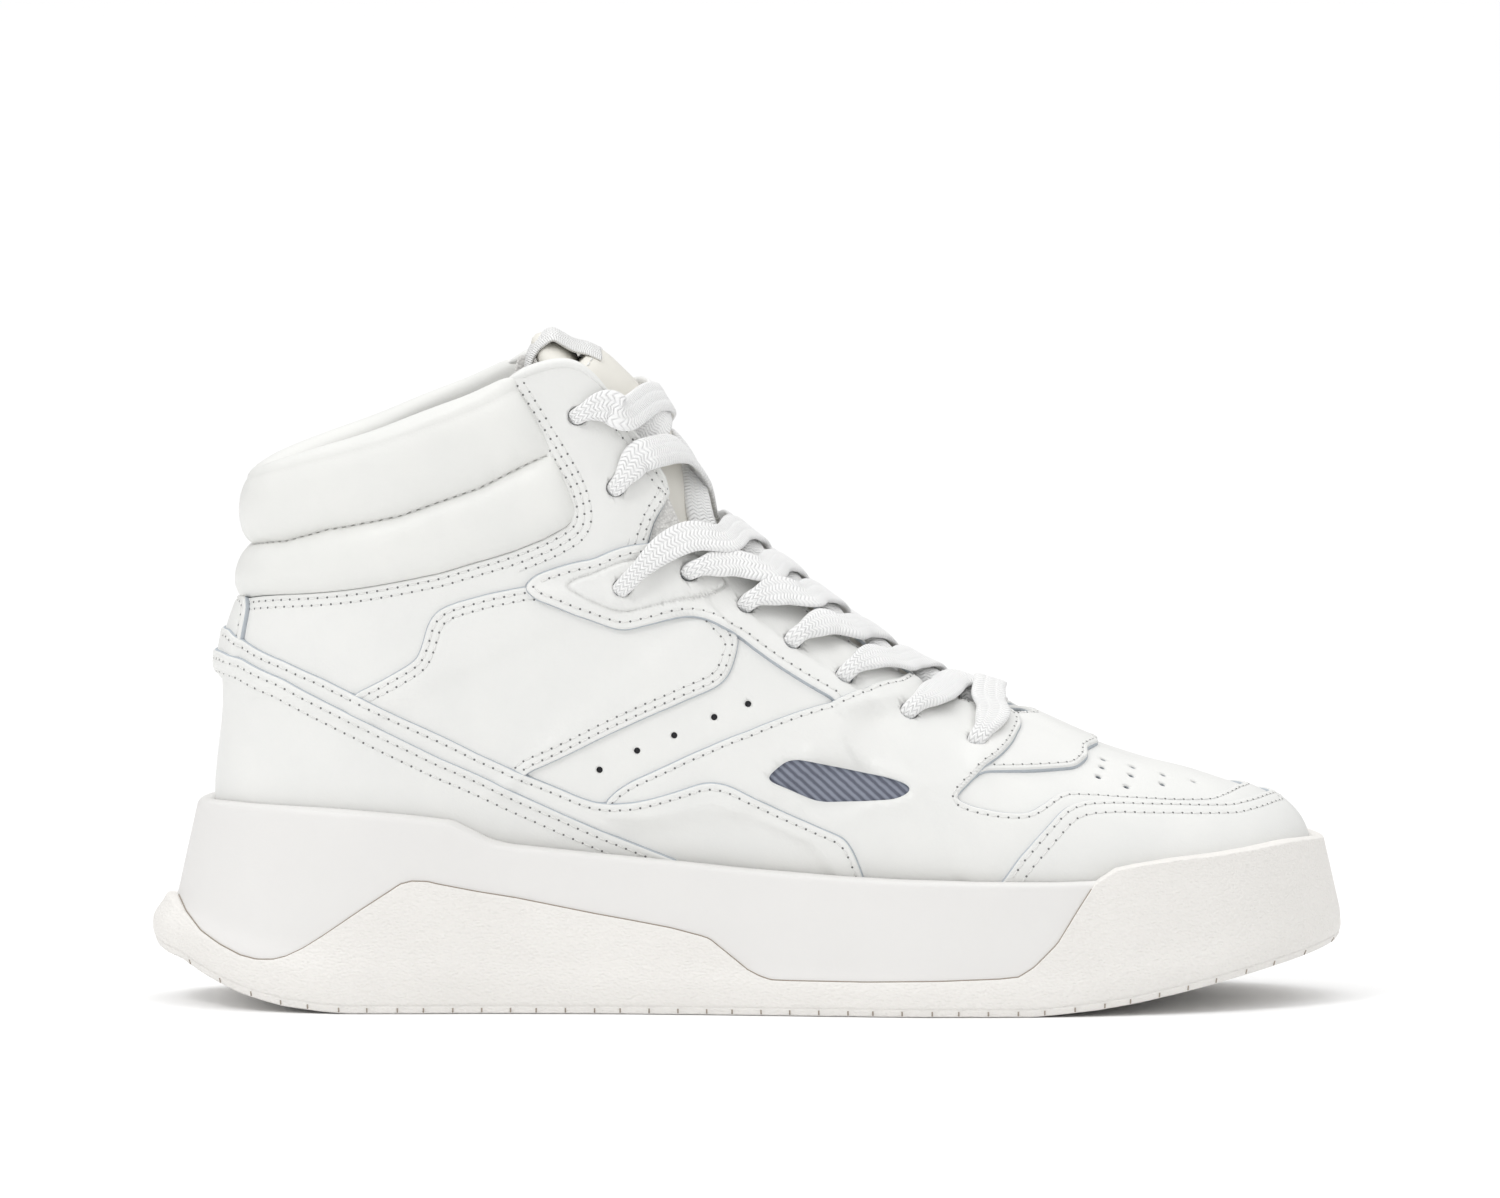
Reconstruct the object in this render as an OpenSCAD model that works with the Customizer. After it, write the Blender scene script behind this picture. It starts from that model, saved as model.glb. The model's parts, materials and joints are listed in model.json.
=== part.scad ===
// Leather basketball high top for the right foot.
// +X points to the toe, +Z up, and -Y is the outer (lateral) side.
// The upper is built on one smooth foundation surface, the underside of the
// leather. Each leather panel is a layer at its own height above it, cut to
// the outline of the panel as drawn in side elevation.

/* [Size] */
// Length of the sole from heel to toe (the whole shoe scales with it)
shoe_length = 306; // [260:1:330]

/* [Leather] */
// Thickness of each leather layer
leather_t = 1.0; // [0.7:0.05:1.05]
// Gap between one layer and the next
layer_gap = 0.1; // [0.08:0.01:0.2]
// Gap between two panels that butt in the same layer
butt_gap = 0.2; // [0.1:0.05:0.4]
// Thickness of the textile lining
lining_t = 0.8; // [0.5:0.1:0.9]

/* [Collar] */
// How far the padding stands into the ankle opening
collar_swell = 7; // [3:0.5:8]
// Crown of the upper collar roll
roll_upper = 5; // [2:0.5:6]
// Crown of the lower collar roll
roll_lower = 4.4; // [2:0.5:5]

/* [Lacing] */
// Width of the flat lace
lace_w = 8.4; // [6:0.2:9]
// Thickness of the lace
lace_t = 1.3; // [1:0.1:1.4]
// Radius of a punched eyelet
eyelet_r = 2.8; // [2.6:0.1:3.2]

/* [Sole] */
// Flare of the sidewall from its top edge to its widest line
sole_flare = 2.6; // [1:0.2:4]
// Depth of the tread grooves
tread_depth = 2.2; // [1:0.1:3]
// Spacing of the tread grooves
tread_pitch = 14.6; // [12:0.2:20]
// Thickness of the sockliner
sockliner_t = 4.5; // [3:0.5:5.5]

/* [Hidden] */

base_length = 306;
k = shoe_length / base_length;

// Heights of the layers above the foundation surface
lift = leather_t + layer_gap;
LAYER_1 = 0;
LAYER_2 = lift;
LAYER_3 = 2 * lift;
LAYER_4 = 3 * lift;
stiffener_t = 0.9;
lining_top = -1.1;

// Colours
WHITE_LEATHER = [0.93, 0.93, 0.92];
SOFT_LEATHER = [0.91, 0.91, 0.90];
CREAM = [0.93, 0.90, 0.83];
RUBBER = [0.90, 0.89, 0.87];
FOAM = [0.92, 0.91, 0.90];
MESH_GREY = [0.47, 0.48, 0.53];
TEXTILE = [0.86, 0.84, 0.80];
BOARD = [0.75, 0.70, 0.60];

// ---------------------------------------------------------------- foundation
// Control net: one column per station from the middle of the heel, along one
// side, to the middle of the toe. Each column runs from the feather edge up to
// the collar or the throat, as [x, half width, z].
NET = [
  [[-131, 0, 37], [-136.2, 0, 52], [-134.4, 0, 75], [-133.9, 0, 93], [-128.3, 0, 112], [-126.5, 0, 137.5]],
  [[-121.5, 20, 36.8], [-126.5, 23.3, 51], [-125.8, 22.7, 73], [-125.5, 21, 93], [-122.5, 17.5, 114],
    [-119, 18, 141.5]],
  [[-100, 30, 36], [-101, 34, 50], [-101, 33.5, 72], [-102, 31.5, 94], [-101, 29.5, 118], [-99, 30, 148.5]],
  [[-62, 29, 35], [-64, 33.2, 49], [-66, 34.2, 72], [-68, 34, 97], [-71, 33, 126], [-75, 33.5, 157.5]],
  [[-28, 30.5, 31], [-30, 34.5, 46], [-35, 35.5, 71], [-39, 34.7, 99], [-43, 33, 132], [-46, 31, 167.3]],
  [[0, 33, 27.5], [-2, 37.5, 43], [-8, 38, 67], [-15, 35.5, 92], [-23, 31, 120], [-29, 26.5, 147.5]],
  [[25, 36.5, 25.5], [24, 41, 40], [17, 40.7, 60], [8, 37, 81], [-3, 30.5, 103], [-14, 22.5, 124.5]],
  [[52, 40.5, 24.5], [51, 45.2, 38], [45, 44, 54], [35, 38.3, 71], [24, 29.5, 88], [12, 19, 104]],
  [[82, 41, 24.5], [84, 45, 37], [79, 41.5, 50], [68, 34, 61.5], [54, 25, 73], [40, 15, 83.7]],
  [[113, 33.5, 26], [116, 36, 37.5], [110, 31.5, 48.5], [97, 24.5, 57.5], [79, 17.5, 67], [62, 10.5, 75]],
  [[131, 20, 27.3], [135.5, 21.5, 38.5], [129, 18.5, 49], [111, 14, 57.6], [90, 10, 65], [71, 6.3, 73.7]],
  [[138.5, 0, 28], [143.3, 0, 39], [137, 0, 49.5], [118, 0, 57.5], [95, 0, 63.5], [73, 0, 73]]
];
LAST = len(NET) - 1;
TOP = len(NET[0]) - 1;
TURN = 2 * LAST;

// The sole and upper bend towards the big toe in plan
waist_x = -5;
waist_sway = -2.6;
heel_sway = 2.6;
toe_sway = 7.6;
sway_reach = 150;
centre_y = 0.55;
function sway(x) = waist_sway + centre_y
  + (x > waist_x ? toe_sway : heel_sway) * pow(abs(x - waist_x) / sway_reach, 1.9);

// Catmull-Rom segment between b and c
function spline(a, b, c, d, f) =
  b + 0.5 * f * (c - a + f * (2 * a - 5 * b + 4 * c - d + f * (3 * (b - c) + d - a)));

function flip(p) = [p.x, -p.y, p.z];
function net_row(i, j) = j < 0 ? 2 * NET[i][0] - NET[i][1]
  : j > TOP ? 2 * NET[i][TOP] - NET[i][TOP - 1] : NET[i][j];
function net(i, j) = i < 0 ? flip(net_row(-i, j))
  : i > LAST ? flip(net_row(2 * LAST - i, j)) : net_row(i, j);
function net_across(s, j) = let (i = min(floor(s), LAST - 1), f = s - i)
  spline(net(i - 1, j), net(i, j), net(i + 1, j), net(i + 2, j), f);
function half_surface(s, t) = let (j = max(0, min(floor(t), TOP - 1)), f = t - j)
  spline(net_across(s, j - 1), net_across(s, j), net_across(s, j + 1), net_across(s, j + 2), f);

// side is -1 for lateral and 1 for medial
function place(p, side) = [p.x, side * p.y + sway(p.x), p.z];
function half_point(s, t, side) = place(half_surface(s, t), side);
// u runs once round the shoe: heel, lateral side, toe, medial side, heel
function wrap(u) = u < 0 ? u + TURN : u >= TURN ? u - TURN : u;
function foot(u, t) = let (v = wrap(u)) v <= LAST ? half_point(v, t, -1) : half_point(TURN - v, t, 1);
function unit(v) = v / max(norm(v), 1e-6);
STEP = 0.03;
function foot_normal(u, t) =
  unit(cross(foot(u + STEP, t) - foot(u - STEP, t), foot(u, t + STEP) - foot(u, t - STEP)));
function side_u(s, side) = side < 0 ? s : TURN - s;
function skin(s, t, side, d) = let (u = side_u(s, side)) foot(u, t) + d * foot_normal(u, t);

// ------------------------------------------------------------- closed slabs
// Stations along one half of the shoe, closer together round the heel and the toe
HALF_LOOP = [0, 0.4, 0.8, 1.15, 1.55, 2, 2.6, 3.2, 3.8, 4.4, 5, 5.5, 6, 6.5, 7, 7.5, 8, 8.5, 9, 9.5,
  10, 10.5, 11];
HALF_COUNT = len(HALF_LOOP) - 1;
LOOP = concat([for (i = [0 : HALF_COUNT]) HALF_LOOP[i]],
  [for (i = [HALF_COUNT - 1 : -1 : 1]) TURN - HALF_LOOP[i]]);
RISE = [0, 0.7, 1.3, 2, 2.7, 3.3, 3.9, 4.5, 5];
LOOP_POINTS = [for (u = LOOP) [for (t = RISE) foot(u, t)]];
LOOP_NORMALS = [for (u = LOOP) [for (t = RISE) foot_normal(u, t)]];

function two(a, b, c, d) = [[a, b, c], [a, c, d]];
function flatten(l) = [for (a = l) for (b = a) b];

// A slab between two grids of points with the same layout
module slab(inner, outer, closed) {
  n = len(outer);
  m = len(outer[0]);
  last = closed ? n - 1 : n - 2;
  half = n * m;
  function at(i, j) = (i % n) * m + j;
  faces = [
    for (i = [0 : last]) for (j = [0 : m - 2])
      each concat(two(at(i, j), at(i, j + 1), at(i + 1, j + 1), at(i + 1, j)),
        two(half + at(i, j), half + at(i + 1, j), half + at(i + 1, j + 1), half + at(i, j + 1))),
    for (i = [0 : last])
      each concat(two(at(i + 1, m - 1), at(i, m - 1), half + at(i, m - 1), half + at(i + 1, m - 1)),
        two(at(i, 0), at(i + 1, 0), half + at(i + 1, 0), half + at(i, 0))),
    if (!closed) for (j = [0 : m - 2])
      each concat(two(at(0, j + 1), at(0, j), half + at(0, j), half + at(0, j + 1)),
        two(at(n - 1, j), at(n - 1, j + 1), half + at(n - 1, j + 1), half + at(n - 1, j)))
  ];
  polyhedron(points = concat(flatten(outer), flatten(inner)), faces = faces);
}

function raised(points, normals, height) =
  [for (i = [0 : len(points) - 1]) [for (j = [0 : len(points[0]) - 1])
    points[i][j] + height(points[i][j]) * normals[i][j]]];

// A layer right round the shoe between two heights, each a function of the place
module layer(low, high)
  slab(raised(LOOP_POINTS, LOOP_NORMALS, low), raised(LOOP_POINTS, LOOP_NORMALS, high), true);
module flat_layer(low, high) layer(function(p) low, function(p) high);

// ------------------------------------------------------- outlines in elevation
// Side elevations are drawn as seen from slightly above, so a point nearer the
// middle of the shoe is drawn a little higher than it lies.
sight_slope = 0.0785;
sight_y = 45;
reach_y = 90;
seam_half = 0.15;

module elevation(side)
  mirror([0, side > 0 ? 1 : 0, 0])
    multmatrix([[1, 0, 0, 0], [0, 1, 0, 0], [0, -sight_slope, 1, -sight_slope * sight_y], [0, 0, 0, 1]])
      rotate([90, 0, 0])
        translate([0, 0, seam_half]) linear_extrude(reach_y) children();

// Both sides in one piece, joined over the middle
module elevation_both() {
  join = 2 * seam_half;
  elevation(-1) children();
  elevation(1) children();
  translate([0, join, -sight_slope * sight_y])
    rotate([90, 0, 0]) linear_extrude(2 * join) children();
}

// One leather panel on one side: the layer from a height, cut to its outline
module side_panel(height, side)
  resize([0, 0, 0]) intersection() {
    flat_layer(height, height + leather_t);
    elevation(side) children();
  }

module wrap_panel(height)
  resize([0, 0, 0]) intersection() {
    flat_layer(height, height + leather_t);
    elevation_both() children();
  }

module collar_2d()
  polygon([[-150, 104], [-133, 108], [-120, 108.7], [-110, 109.2], [-100, 110.3], [-90, 112], [-80, 114],
    [-70, 117], [-60, 120], [-53, 122.8], [-48, 125.5], [-45.5, 128], [-45.5, 131], [-47, 136], [-50, 141],
    [-55, 149], [-60, 157], [-63, 164], [-66, 185], [-150, 185]]);
module channel_2d(side_above)
  polygon(concat([[-150, 122], [-127, 122], [-120, 122.5], [-109, 125.5], [-100, 127], [-90, 129],
    [-80, 132.5], [-70, 136], [-62, 140], [-54, 143.5], [-40, 149]],
    side_above > 0 ? [[-40, 190], [-150, 190]] : [[-40, 95], [-150, 95]]));
module ankle_2d() {
  difference() {
    polygon([[-150, 60], [-100, 62], [-75, 78], [-50, 98], [-30, 107], [-12, 112], [4, 122], [4, 190],
      [-150, 190]]);
    offset(delta = butt_gap) collar_2d();
  }
}
module underlay_2d()
  difference() {
    polygon([[-100, 18], [52, 18], [52, 95], [20, 125], [6, 125], [-10, 111.6], [-30, 106.6], [-50, 97.6],
      [-75, 77.6], [-100, 61.6]]);
    offset(delta = butt_gap) mesh_2d();
  }
module window_2d()
  polygon([[4.8, 61], [10, 65.5], [13, 65.8], [25, 63.5], [35, 61.5], [40, 60], [42.5, 58.5], [41.5, 57],
    [38, 55.5], [30, 55], [20, 54.7], [17, 55.2], [10, 58.3], [6, 60]]);
module mesh_2d() offset(delta = 3) window_2d();
module mid_2d()
  difference() {
    polygon([[-104, 81], [-102, 82.5], [-95, 86], [-88, 90], [-85.5, 92], [-84, 96], [-83, 100], [-81.5, 103],
      [-79, 105], [-75, 106.5], [-67, 108.7], [-56, 111], [-2, 104], [-2.5, 97.5], [-3, 94], [-4.5, 89],
      [-6, 86.5], [-8.5, 84.5], [-12, 83], [-20, 79.5], [-38, 71.5], [-57, 62.5], [-80, 51], [-104, 51]]);
    offset(delta = butt_gap) eyestay_2d();
  }
module eyestay_2d()
  difference() {
    polygon([[-58, 110.5], [-55, 113.5], [-40, 117.5], [-26, 121.5], [-20, 123], [-6, 130], [20, 130],
      [60, 95], [45, 76], [22.5, 79], [22.5, 81.3], [-2, 97.5], [-5, 99], [-10, 101.8], [-14, 103],
      [-18, 102.8], [-25, 101], [-31, 99.5], [-34, 99.6], [-38, 101], [-45, 103.5], [-55, 107.5]]);
    offset(delta = butt_gap) forefoot_solid_2d();
  }
module forefoot_solid_2d()
  polygon([[-37, 54.5], [-34, 57.5], [-30, 60], [-20, 64.5], [-10, 69], [0, 73], [10, 77], [23, 80.8],
    [30, 83.5], [40, 85.5], [46, 92], [60, 92], [69, 75], [70, 72.5], [69, 71.5], [61, 63.5], [53.5, 56],
    [54, 55.3], [58, 53.5], [65, 52], [70, 51.7], [73, 52], [77, 54.5], [80, 56.8], [83, 57.7], [90, 57.5],
    [105, 56.8], [120, 56.5], [128, 57], [133, 58.5], [170, 60], [170, 18], [-60, 18]]);
module forefoot_2d() difference() { forefoot_solid_2d(); window_2d(); }
module throat_bar_2d()
  difference() {
    polygon([[50, 63.5], [69, 63], [80, 63.7], [85, 64.2], [86.5, 65.5], [87.8, 69.5], [89, 76], [50, 100]]);
    offset(delta = butt_gap) forefoot_solid_2d();
  }
module toe_guard_2d()
  polygon([[65, 33.5], [70, 40], [75, 45.5], [80, 51], [82, 52.8], [85, 54], [88, 54.6], [95, 54.8],
    [110, 54.5], [125, 54.3], [130, 54.6], [135, 56], [138, 58], [170, 60], [170, 29], [65, 29]]);
module foxing_2d()
  polygon([[-150, 104], [-135, 98.8], [-130, 96], [-120, 91], [-110, 86.5], [-90, 76.5], [-70, 67], [-60, 62.5],
    [-50, 58.5], [-43, 55.5], [-39, 54.3], [-35, 54.2], [-30, 54.5], [-25, 55.5], [-18, 57.5], [-12, 59.5],
    [-9, 59.8], [-5, 59], [5, 54], [15, 49.5], [22, 46.5], [25, 45], [27, 42], [29, 37], [30, 30], [-150, 38]]);
module heel_cover_2d()
  polygon([[-150, 95], [-138.7, 93.5], [-136, 94], [-130, 91.5], [-120, 86.5], [-110, 81], [-100, 76],
    [-80, 66], [-60, 57], [-40, 48], [-25, 42], [-18, 39.3], [-18, 34], [-150, 41]]);
module back_stay_2d()
  polygon([[-150, 60], [-127, 60], [-126.5, 95], [-127, 104], [-128.5, 107.3],
    [-134, 107], [-150, 103]]);

// -------------------------------------------------------------------- lining
function ramp(x, a, b) = let (f = max(0, min(1, (x - a) / (b - a)))) f * f * (3 - 2 * f);
// The padding swells into the ankle opening above the heel and fades forward
function swell(p) = 0.4 + collar_swell * ramp(p.z, 96, 122) * (1 - ramp(p.z - 0.32 * (p.x + 126), 128, 139))
  * (1 - ramp(p.x, -95, -56));
lining_low = function(p) lining_top - lining_t - swell(p);
lining_high = function(p) lining_top - swell(p);
front_split_x = 18;
rear_split_x = -78;

module lining_part(x0, x1, side) {
  span = 120;
  resize([0, 0, 0]) difference() {
    intersection() {
      layer(lining_low, lining_high);
      translate([x0, side == 0 ? -span : side < 0 ? -span - seam_half : seam_half, 0])
        cube([x1 - x0, side == 0 ? 2 * span : span, 200]);
    }
    eyelet_holes();
  }
}

foam_gap = 0.5;
module collar_foam_body()
  resize([0, 0, 0]) intersection() {
    layer(function(p) lining_high(p) + layer_gap, function(p) -foam_gap);
    elevation_both() intersection() {
      collar_2d();
      translate([-150, 112]) square([90, 60]);
    }
  }

module stiffener() resize([0, 0, 0]) intersection() {
  flat_layer(-stiffener_t - layer_gap, -layer_gap);
  elevation_both() children();
}

// The two rolls are crowned slabs on a finer grid of the collar
ROLL_SPAN = 3.75;
ROLL_U = [for (i = [0 : 20]) wrap(ROLL_SPAN * (i / 10 - 1))];
ROLL_T = [for (j = [0 : 8]) 3.3 + (TOP - 3.3) * j / 8];
ROLL_POINTS = [for (u = ROLL_U) [for (t = ROLL_T) foot(u, t)]];
ROLL_NORMALS = [for (u = ROLL_U) [for (t = ROLL_T) foot_normal(u, t)]];
CHANNEL = [[-140, 118.5], [-127, 118.6], [-109, 123.5], [-90, 127.8], [-70, 135], [-54, 142.6], [-30, 154]];
ROLL_BASE = [[-140, 104.5], [-120, 107], [-100, 109.5], [-80, 113.3], [-60, 119.3], [-45, 127], [-30, 136]];
ROLL_TOP = [[-140, 136], [-126.5, 139], [-119, 143], [-99, 150], [-75, 160], [-63, 166], [-30, 170]];
function crown(f, h) = 0.5 + h * pow(max(0, 1 - pow(2 * f - 1, 2)), 0.6);
function crown_between(p, low, high, h) =
  crown(max(0, min(1, (p.z - lookup(p.x, low)) / (lookup(p.x, high) - lookup(p.x, low)))), h);

module roll(low, high, h, above)
  resize([0, 0, 0]) intersection() {
    slab(raised(ROLL_POINTS, ROLL_NORMALS, function(p) 0),
      raised(ROLL_POINTS, ROLL_NORMALS, function(p) crown_between(p, low, high, h)), false);
    elevation_both() intersection() {
      collar_2d();
      offset(delta = -butt_gap / 2) channel_2d(above);
    }
  }

// A rolled edge along the top of each ankle panel
BINDING_S = [for (i = [0 : 7]) 3.5 + 1.1 * i / 7];
module binding(side) {
  r = 1.1;
  sides = 8;
  rings = [for (s = BINDING_S) let (c = skin(s, TOP, side, 0.5) + [0, 0, r + 0.15])
    [for (a = [0 : sides - 1]) c + r * [0, cos(360 * a / sides), sin(360 * a / sides)]]];
  tube(rings);
}

// A closed tube through rings of points
module tube(rings) {
  m = len(rings[0]);
  n = len(rings);
  polyhedron(points = flatten(rings), faces = [
    for (i = [0 : n - 2]) for (j = [0 : m - 1])
      each two(i * m + j, (i + 1) * m + j, (i + 1) * m + (j + 1) % m, i * m + (j + 1) % m),
    [for (j = [0 : m - 1]) j],
    [for (j = [m - 1 : -1 : 0]) (n - 1) * m + j]
  ]);
}

// -------------------------------------------------------------------- lacing
// Places of the nine eyelets on each side, as [x, z] in elevation
EYELETS = [[-44, 155], [-34, 136.5], [-32.5, 110.5], [-15, 114.5], [-0.5, 106], [11.5, 96.5], [25, 87.5],
  [41.5, 78], [59, 70.5]];
// Where the lace crosses the edge of the throat beside each eyelet, as an x
EDGE_X = [-33.5, -27.5, -9, 2, 12, 23, 36, 49, 61];
function drawn_z(p) = p.z - sight_slope * (p.y - sight_y);
// Newton steps that find the place [s, t] on the foundation for a drawn point
function find_place(q, s, t, n) = n == 0 ? [s, t] :
  let (e = 0.01, p = half_surface(s, t), a = (half_surface(s + e, t) - p) / e,
    b = (half_surface(s, t + e) - p) / e,
    az = a.z - sight_slope * a.y, bz = b.z - sight_slope * b.y,
    dx = q.x - p.x, dz = q.y - drawn_z(p), det = a.x * bz - b.x * az)
  find_place(q, max(0, min(LAST, s + (dx * bz - b.x * dz) / det)),
    max(0, min(TOP, t + (a.x * dz - dx * az) / det)), n - 1);
EYELET_PLACES = [for (i = [0 : len(EYELETS) - 1]) find_place(EYELETS[i], 4.2 + 0.6 * i, 4.6, 12)];

function find_edge(x, low, high, n) = let (s = (low + high) / 2)
  n == 0 ? s : half_surface(s, TOP).x < x ? find_edge(x, s, high, n - 1) : find_edge(x, low, s, n - 1);
EDGE_S = [for (x = EDGE_X) find_edge(x, 4, LAST, 14)];

module eyelet_holes()
  for (e = EYELET_PLACES) for (side = [-1, 1]) {
    foot_point = skin(e.x, e.y, side, -4);
    axis = foot_normal(side_u(e.x, side), e.y);
    translate(foot_point)
      rotate([0, acos(axis.z), atan2(axis.y, axis.x)]) cylinder(h = 9, r = eyelet_r, $fn = 8);
  }

// The tongue: it lies under the eyestays and arches across the throat between them
tongue_drop = 5.4;
TONGUE_S = [4.25, 4.6, 5, 5.5, 6, 6.6, 7.3, 8, 8.8, 9.6, 10.3];
TONGUE_CROWN = [[4.2, 9], [5, 12], [5.5, 10.5], [6, 7], [7, 5.8], [8, 6.6], [9, 6], [10, 3], [11, 1.5]];
TONGUE_Q = [-1, -0.6, -0.2, 0.2, 0.6, 1];
WING_T = [4.35, 4.68];
function edge_run(s) =
  let (d = half_surface(s + 0.05, TOP) - half_surface(s - 0.05, TOP)) unit([d.x, 0, d.z]);
function edge_up(s) = let (d = edge_run(s)) [-d.z, 0, d.x];
function tongue_point(s, q) =
  let (a = skin(s, TOP, -1, -tongue_drop), b = skin(s, TOP, 1, -tongue_drop))
  (a + b) / 2 + q * (b - a) / 2 + (1 - q * q) * lookup(s, TONGUE_CROWN) * edge_up(s);
function tongue_row(s) = concat([for (t = WING_T) skin(s, t, -1, -tongue_drop)],
  [for (q = TONGUE_Q) tongue_point(s, q)],
  [for (i = [len(WING_T) - 1 : -1 : 0]) skin(s, WING_T[i], 1, -tongue_drop)]);
TONGUE_GRID = [for (s = TONGUE_S) tongue_row(s)];
function grid_normals(g) = let (n = len(g) - 1, m = len(g[0]) - 1)
  [for (i = [0 : n]) [for (j = [0 : m])
    unit(cross(g[min(i + 1, n)][j] - g[max(i - 1, 0)][j], g[i][min(j + 1, m)] - g[i][max(j - 1, 0)]))]];
TONGUE_NORMALS = grid_normals(TONGUE_GRID);
tongue_skin_t = 1.0;
tongue_foam_t = 4.2;
tongue_gap = 0.3;
function tongue_sheet(d) = raised(TONGUE_GRID, TONGUE_NORMALS, function(p) d);

// Lace route: the bar across the lowest pair lies outside, then each end runs
// under its own eyestay, over the tongue, over the other eyestay and in again.
over_height = 2 * lift + lace_t / 2 + 0.6;
under_height = lining_top - lining_t - 0.2 - lace_t / 2 - 0.25;
bunch_w = 3.4;
bunch_t = 2.6;
aglet_l = 18;
aglet_r = 1.4;
// Heights of the lace over the tongue: beside the throat edge, and at a crossing
EDGE_H = 2.1;
LOW = 3.8;
HIGH = 5.3;
eyelet_count = len(EYELETS);
// A point from an eyelet (share 0) towards its place on the throat edge (share 1)
function eyelet_at(i, side, d, share) =
  let (e = EYELET_PLACES[i], g = [EDGE_S[i], TOP], q = e + share * (g - e)) skin(q.x, q.y, side, d);
function row_direction(i) = edge_run(EDGE_S[i]);
// Each route point is [place, width, thickness, direction of the width]
function pass_in(i, side) = let (r = row_direction(i)) [
  [eyelet_at(i, side, over_height, 0.45), lace_w * 0.9, lace_t, r],
  [eyelet_at(i, side, over_height - 0.2, 0.08), bunch_w, bunch_t * 0.7, r],
  [eyelet_at(i, side, -0.6, 0), bunch_w, bunch_t, r],
  [eyelet_at(i, side, under_height + 0.35, 0.1), bunch_w, bunch_t * 0.45, r],
  [eyelet_at(i, side, under_height + 0.1, 0.5), lace_w * 0.9, lace_t, r]];
function on_tongue(s, q, h) = tongue_point(s, q) + h * edge_up(s);
function leg(i, side, cross_h) = let (
    a = EDGE_S[i], b = EDGE_S[i - 1], r = row_direction(i), r2 = row_direction(i - 1)) [
  [on_tongue(a, side * 0.92, EDGE_H), lace_w, lace_t, r],
  [on_tongue(a + (b - a) * 0.25, side * 0.5, (LOW + cross_h) / 2 - 0.3), lace_w, lace_t, r],
  [on_tongue((a + b) / 2, 0, cross_h), lace_w, lace_t, (r + r2) / 2],
  [on_tongue(a + (b - a) * 0.8, -side * 0.5, HIGH + 0.4), lace_w, lace_t, r2],
  [skin(a + (b - a) * 0.93, TOP, -side, over_height + 0.5), lace_w, lace_t, r2]];
function climb(i, side) = i == 0 ? [] : concat(
  leg(i, side, (i <= 4) == (side > 0) ? LOW : HIGH), pass_in(i - 1, -side), climb(i - 1, -side));
TAIL_S = 3.92;
TAIL_T = 3.85;
tail_depth = under_height - 1.1;
function tail(side) = [
  [skin(4.12, 4.62, side, under_height + 0.3), lace_w * 0.8, lace_t, [-0.5, 0, -1]],
  [skin(4.0, 4.4, side, under_height + 0.1), lace_w * 0.8, lace_t, [-1, 0, -0.4]],
  [skin(TAIL_S, 4.1, side, tail_depth), lace_w * 0.6, lace_t, [-1, 0, 0]],
  [skin(TAIL_S, TAIL_T, side, tail_depth), 2.4, 2.4, [-1, 0, 0]]];
function bar() = let (i = eyelet_count - 1, s = EDGE_S[i], r = row_direction(i)) [
  [skin(s, TOP, -1, over_height + 0.4), lace_w, lace_t, r],
  [on_tongue(s, -0.5, HIGH + 1), lace_w, lace_t, r],
  [on_tongue(s, 0, HIGH + 0.8), lace_w, lace_t, r],
  [on_tongue(s, 0.5, HIGH + 1), lace_w, lace_t, r],
  [skin(s, TOP, 1, over_height + 0.4), lace_w, lace_t, r]];
function reversed(l) = [for (i = [len(l) - 1 : -1 : 0]) l[i]];
function lace_end(side) = concat(pass_in(eyelet_count - 1, side), climb(eyelet_count - 1, side),
  tail(side));
LACE_ROUTE = concat(reversed(lace_end(-1)), bar(), lace_end(1));

function lace_ring(i) = let (
    n = len(LACE_ROUTE) - 1, here = LACE_ROUTE[i],
    run = unit(LACE_ROUTE[min(i + 1, n)][0] - LACE_ROUTE[max(i - 1, 0)][0]),
    across = unit(here[3] - (here[3] * run) * run), up = cross(run, across),
    w = here[1] / 2, h = here[2] / 2)
  [for (q = [[-1, 0], [-0.75, -1], [0.75, -1], [1, 0], [0.75, 1], [-0.75, 1]])
    here[0] + q.x * w * across + q.y * h * up];

// ---------------------------------------------------------------------- sole
// Plan of the sole at its top edge, station by station: [x, half width]
SOLE_PLAN = [[-143, 0], [-132, 27], [-105, 41.5], [-65, 41], [-28, 42], [0, 45], [26, 49], [53, 53],
  [85, 52.6], [118, 43], [139.5, 26], [149, 0]];
SOLE_EDGE = [[-146, 55.5], [-130, 54], [-110, 52.7], [-90, 51], [-78, 49.7], [-72, 46.8], [-68, 44.8],
  [-63, 43.5], [-50, 42.2], [-20, 39.4], [0, 37.2], [20, 35.5], [40, 34.2], [60, 33.6], [80, 33.5], [90, 33.8],
  [95, 37], [100, 38], [110, 39.5], [120, 40.5], [130, 42], [140, 44], [150, 45]];
SOLE_BOTTOM = [[-153, 16], [-148, 13.2], [-144, 10.8], [-140, 8.6], [-135, 6.2], [-130, 4.2], [-125, 2.8],
  [-120, 1.6], [-110, 0.4], [-104, 0], [74, 0], [80, 0.5], [90, 1.5], [100, 3], [110, 5], [120, 7.2],
  [130, 9.6], [140, 11.9], [148, 13.8], [154, 15.4]];
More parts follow.
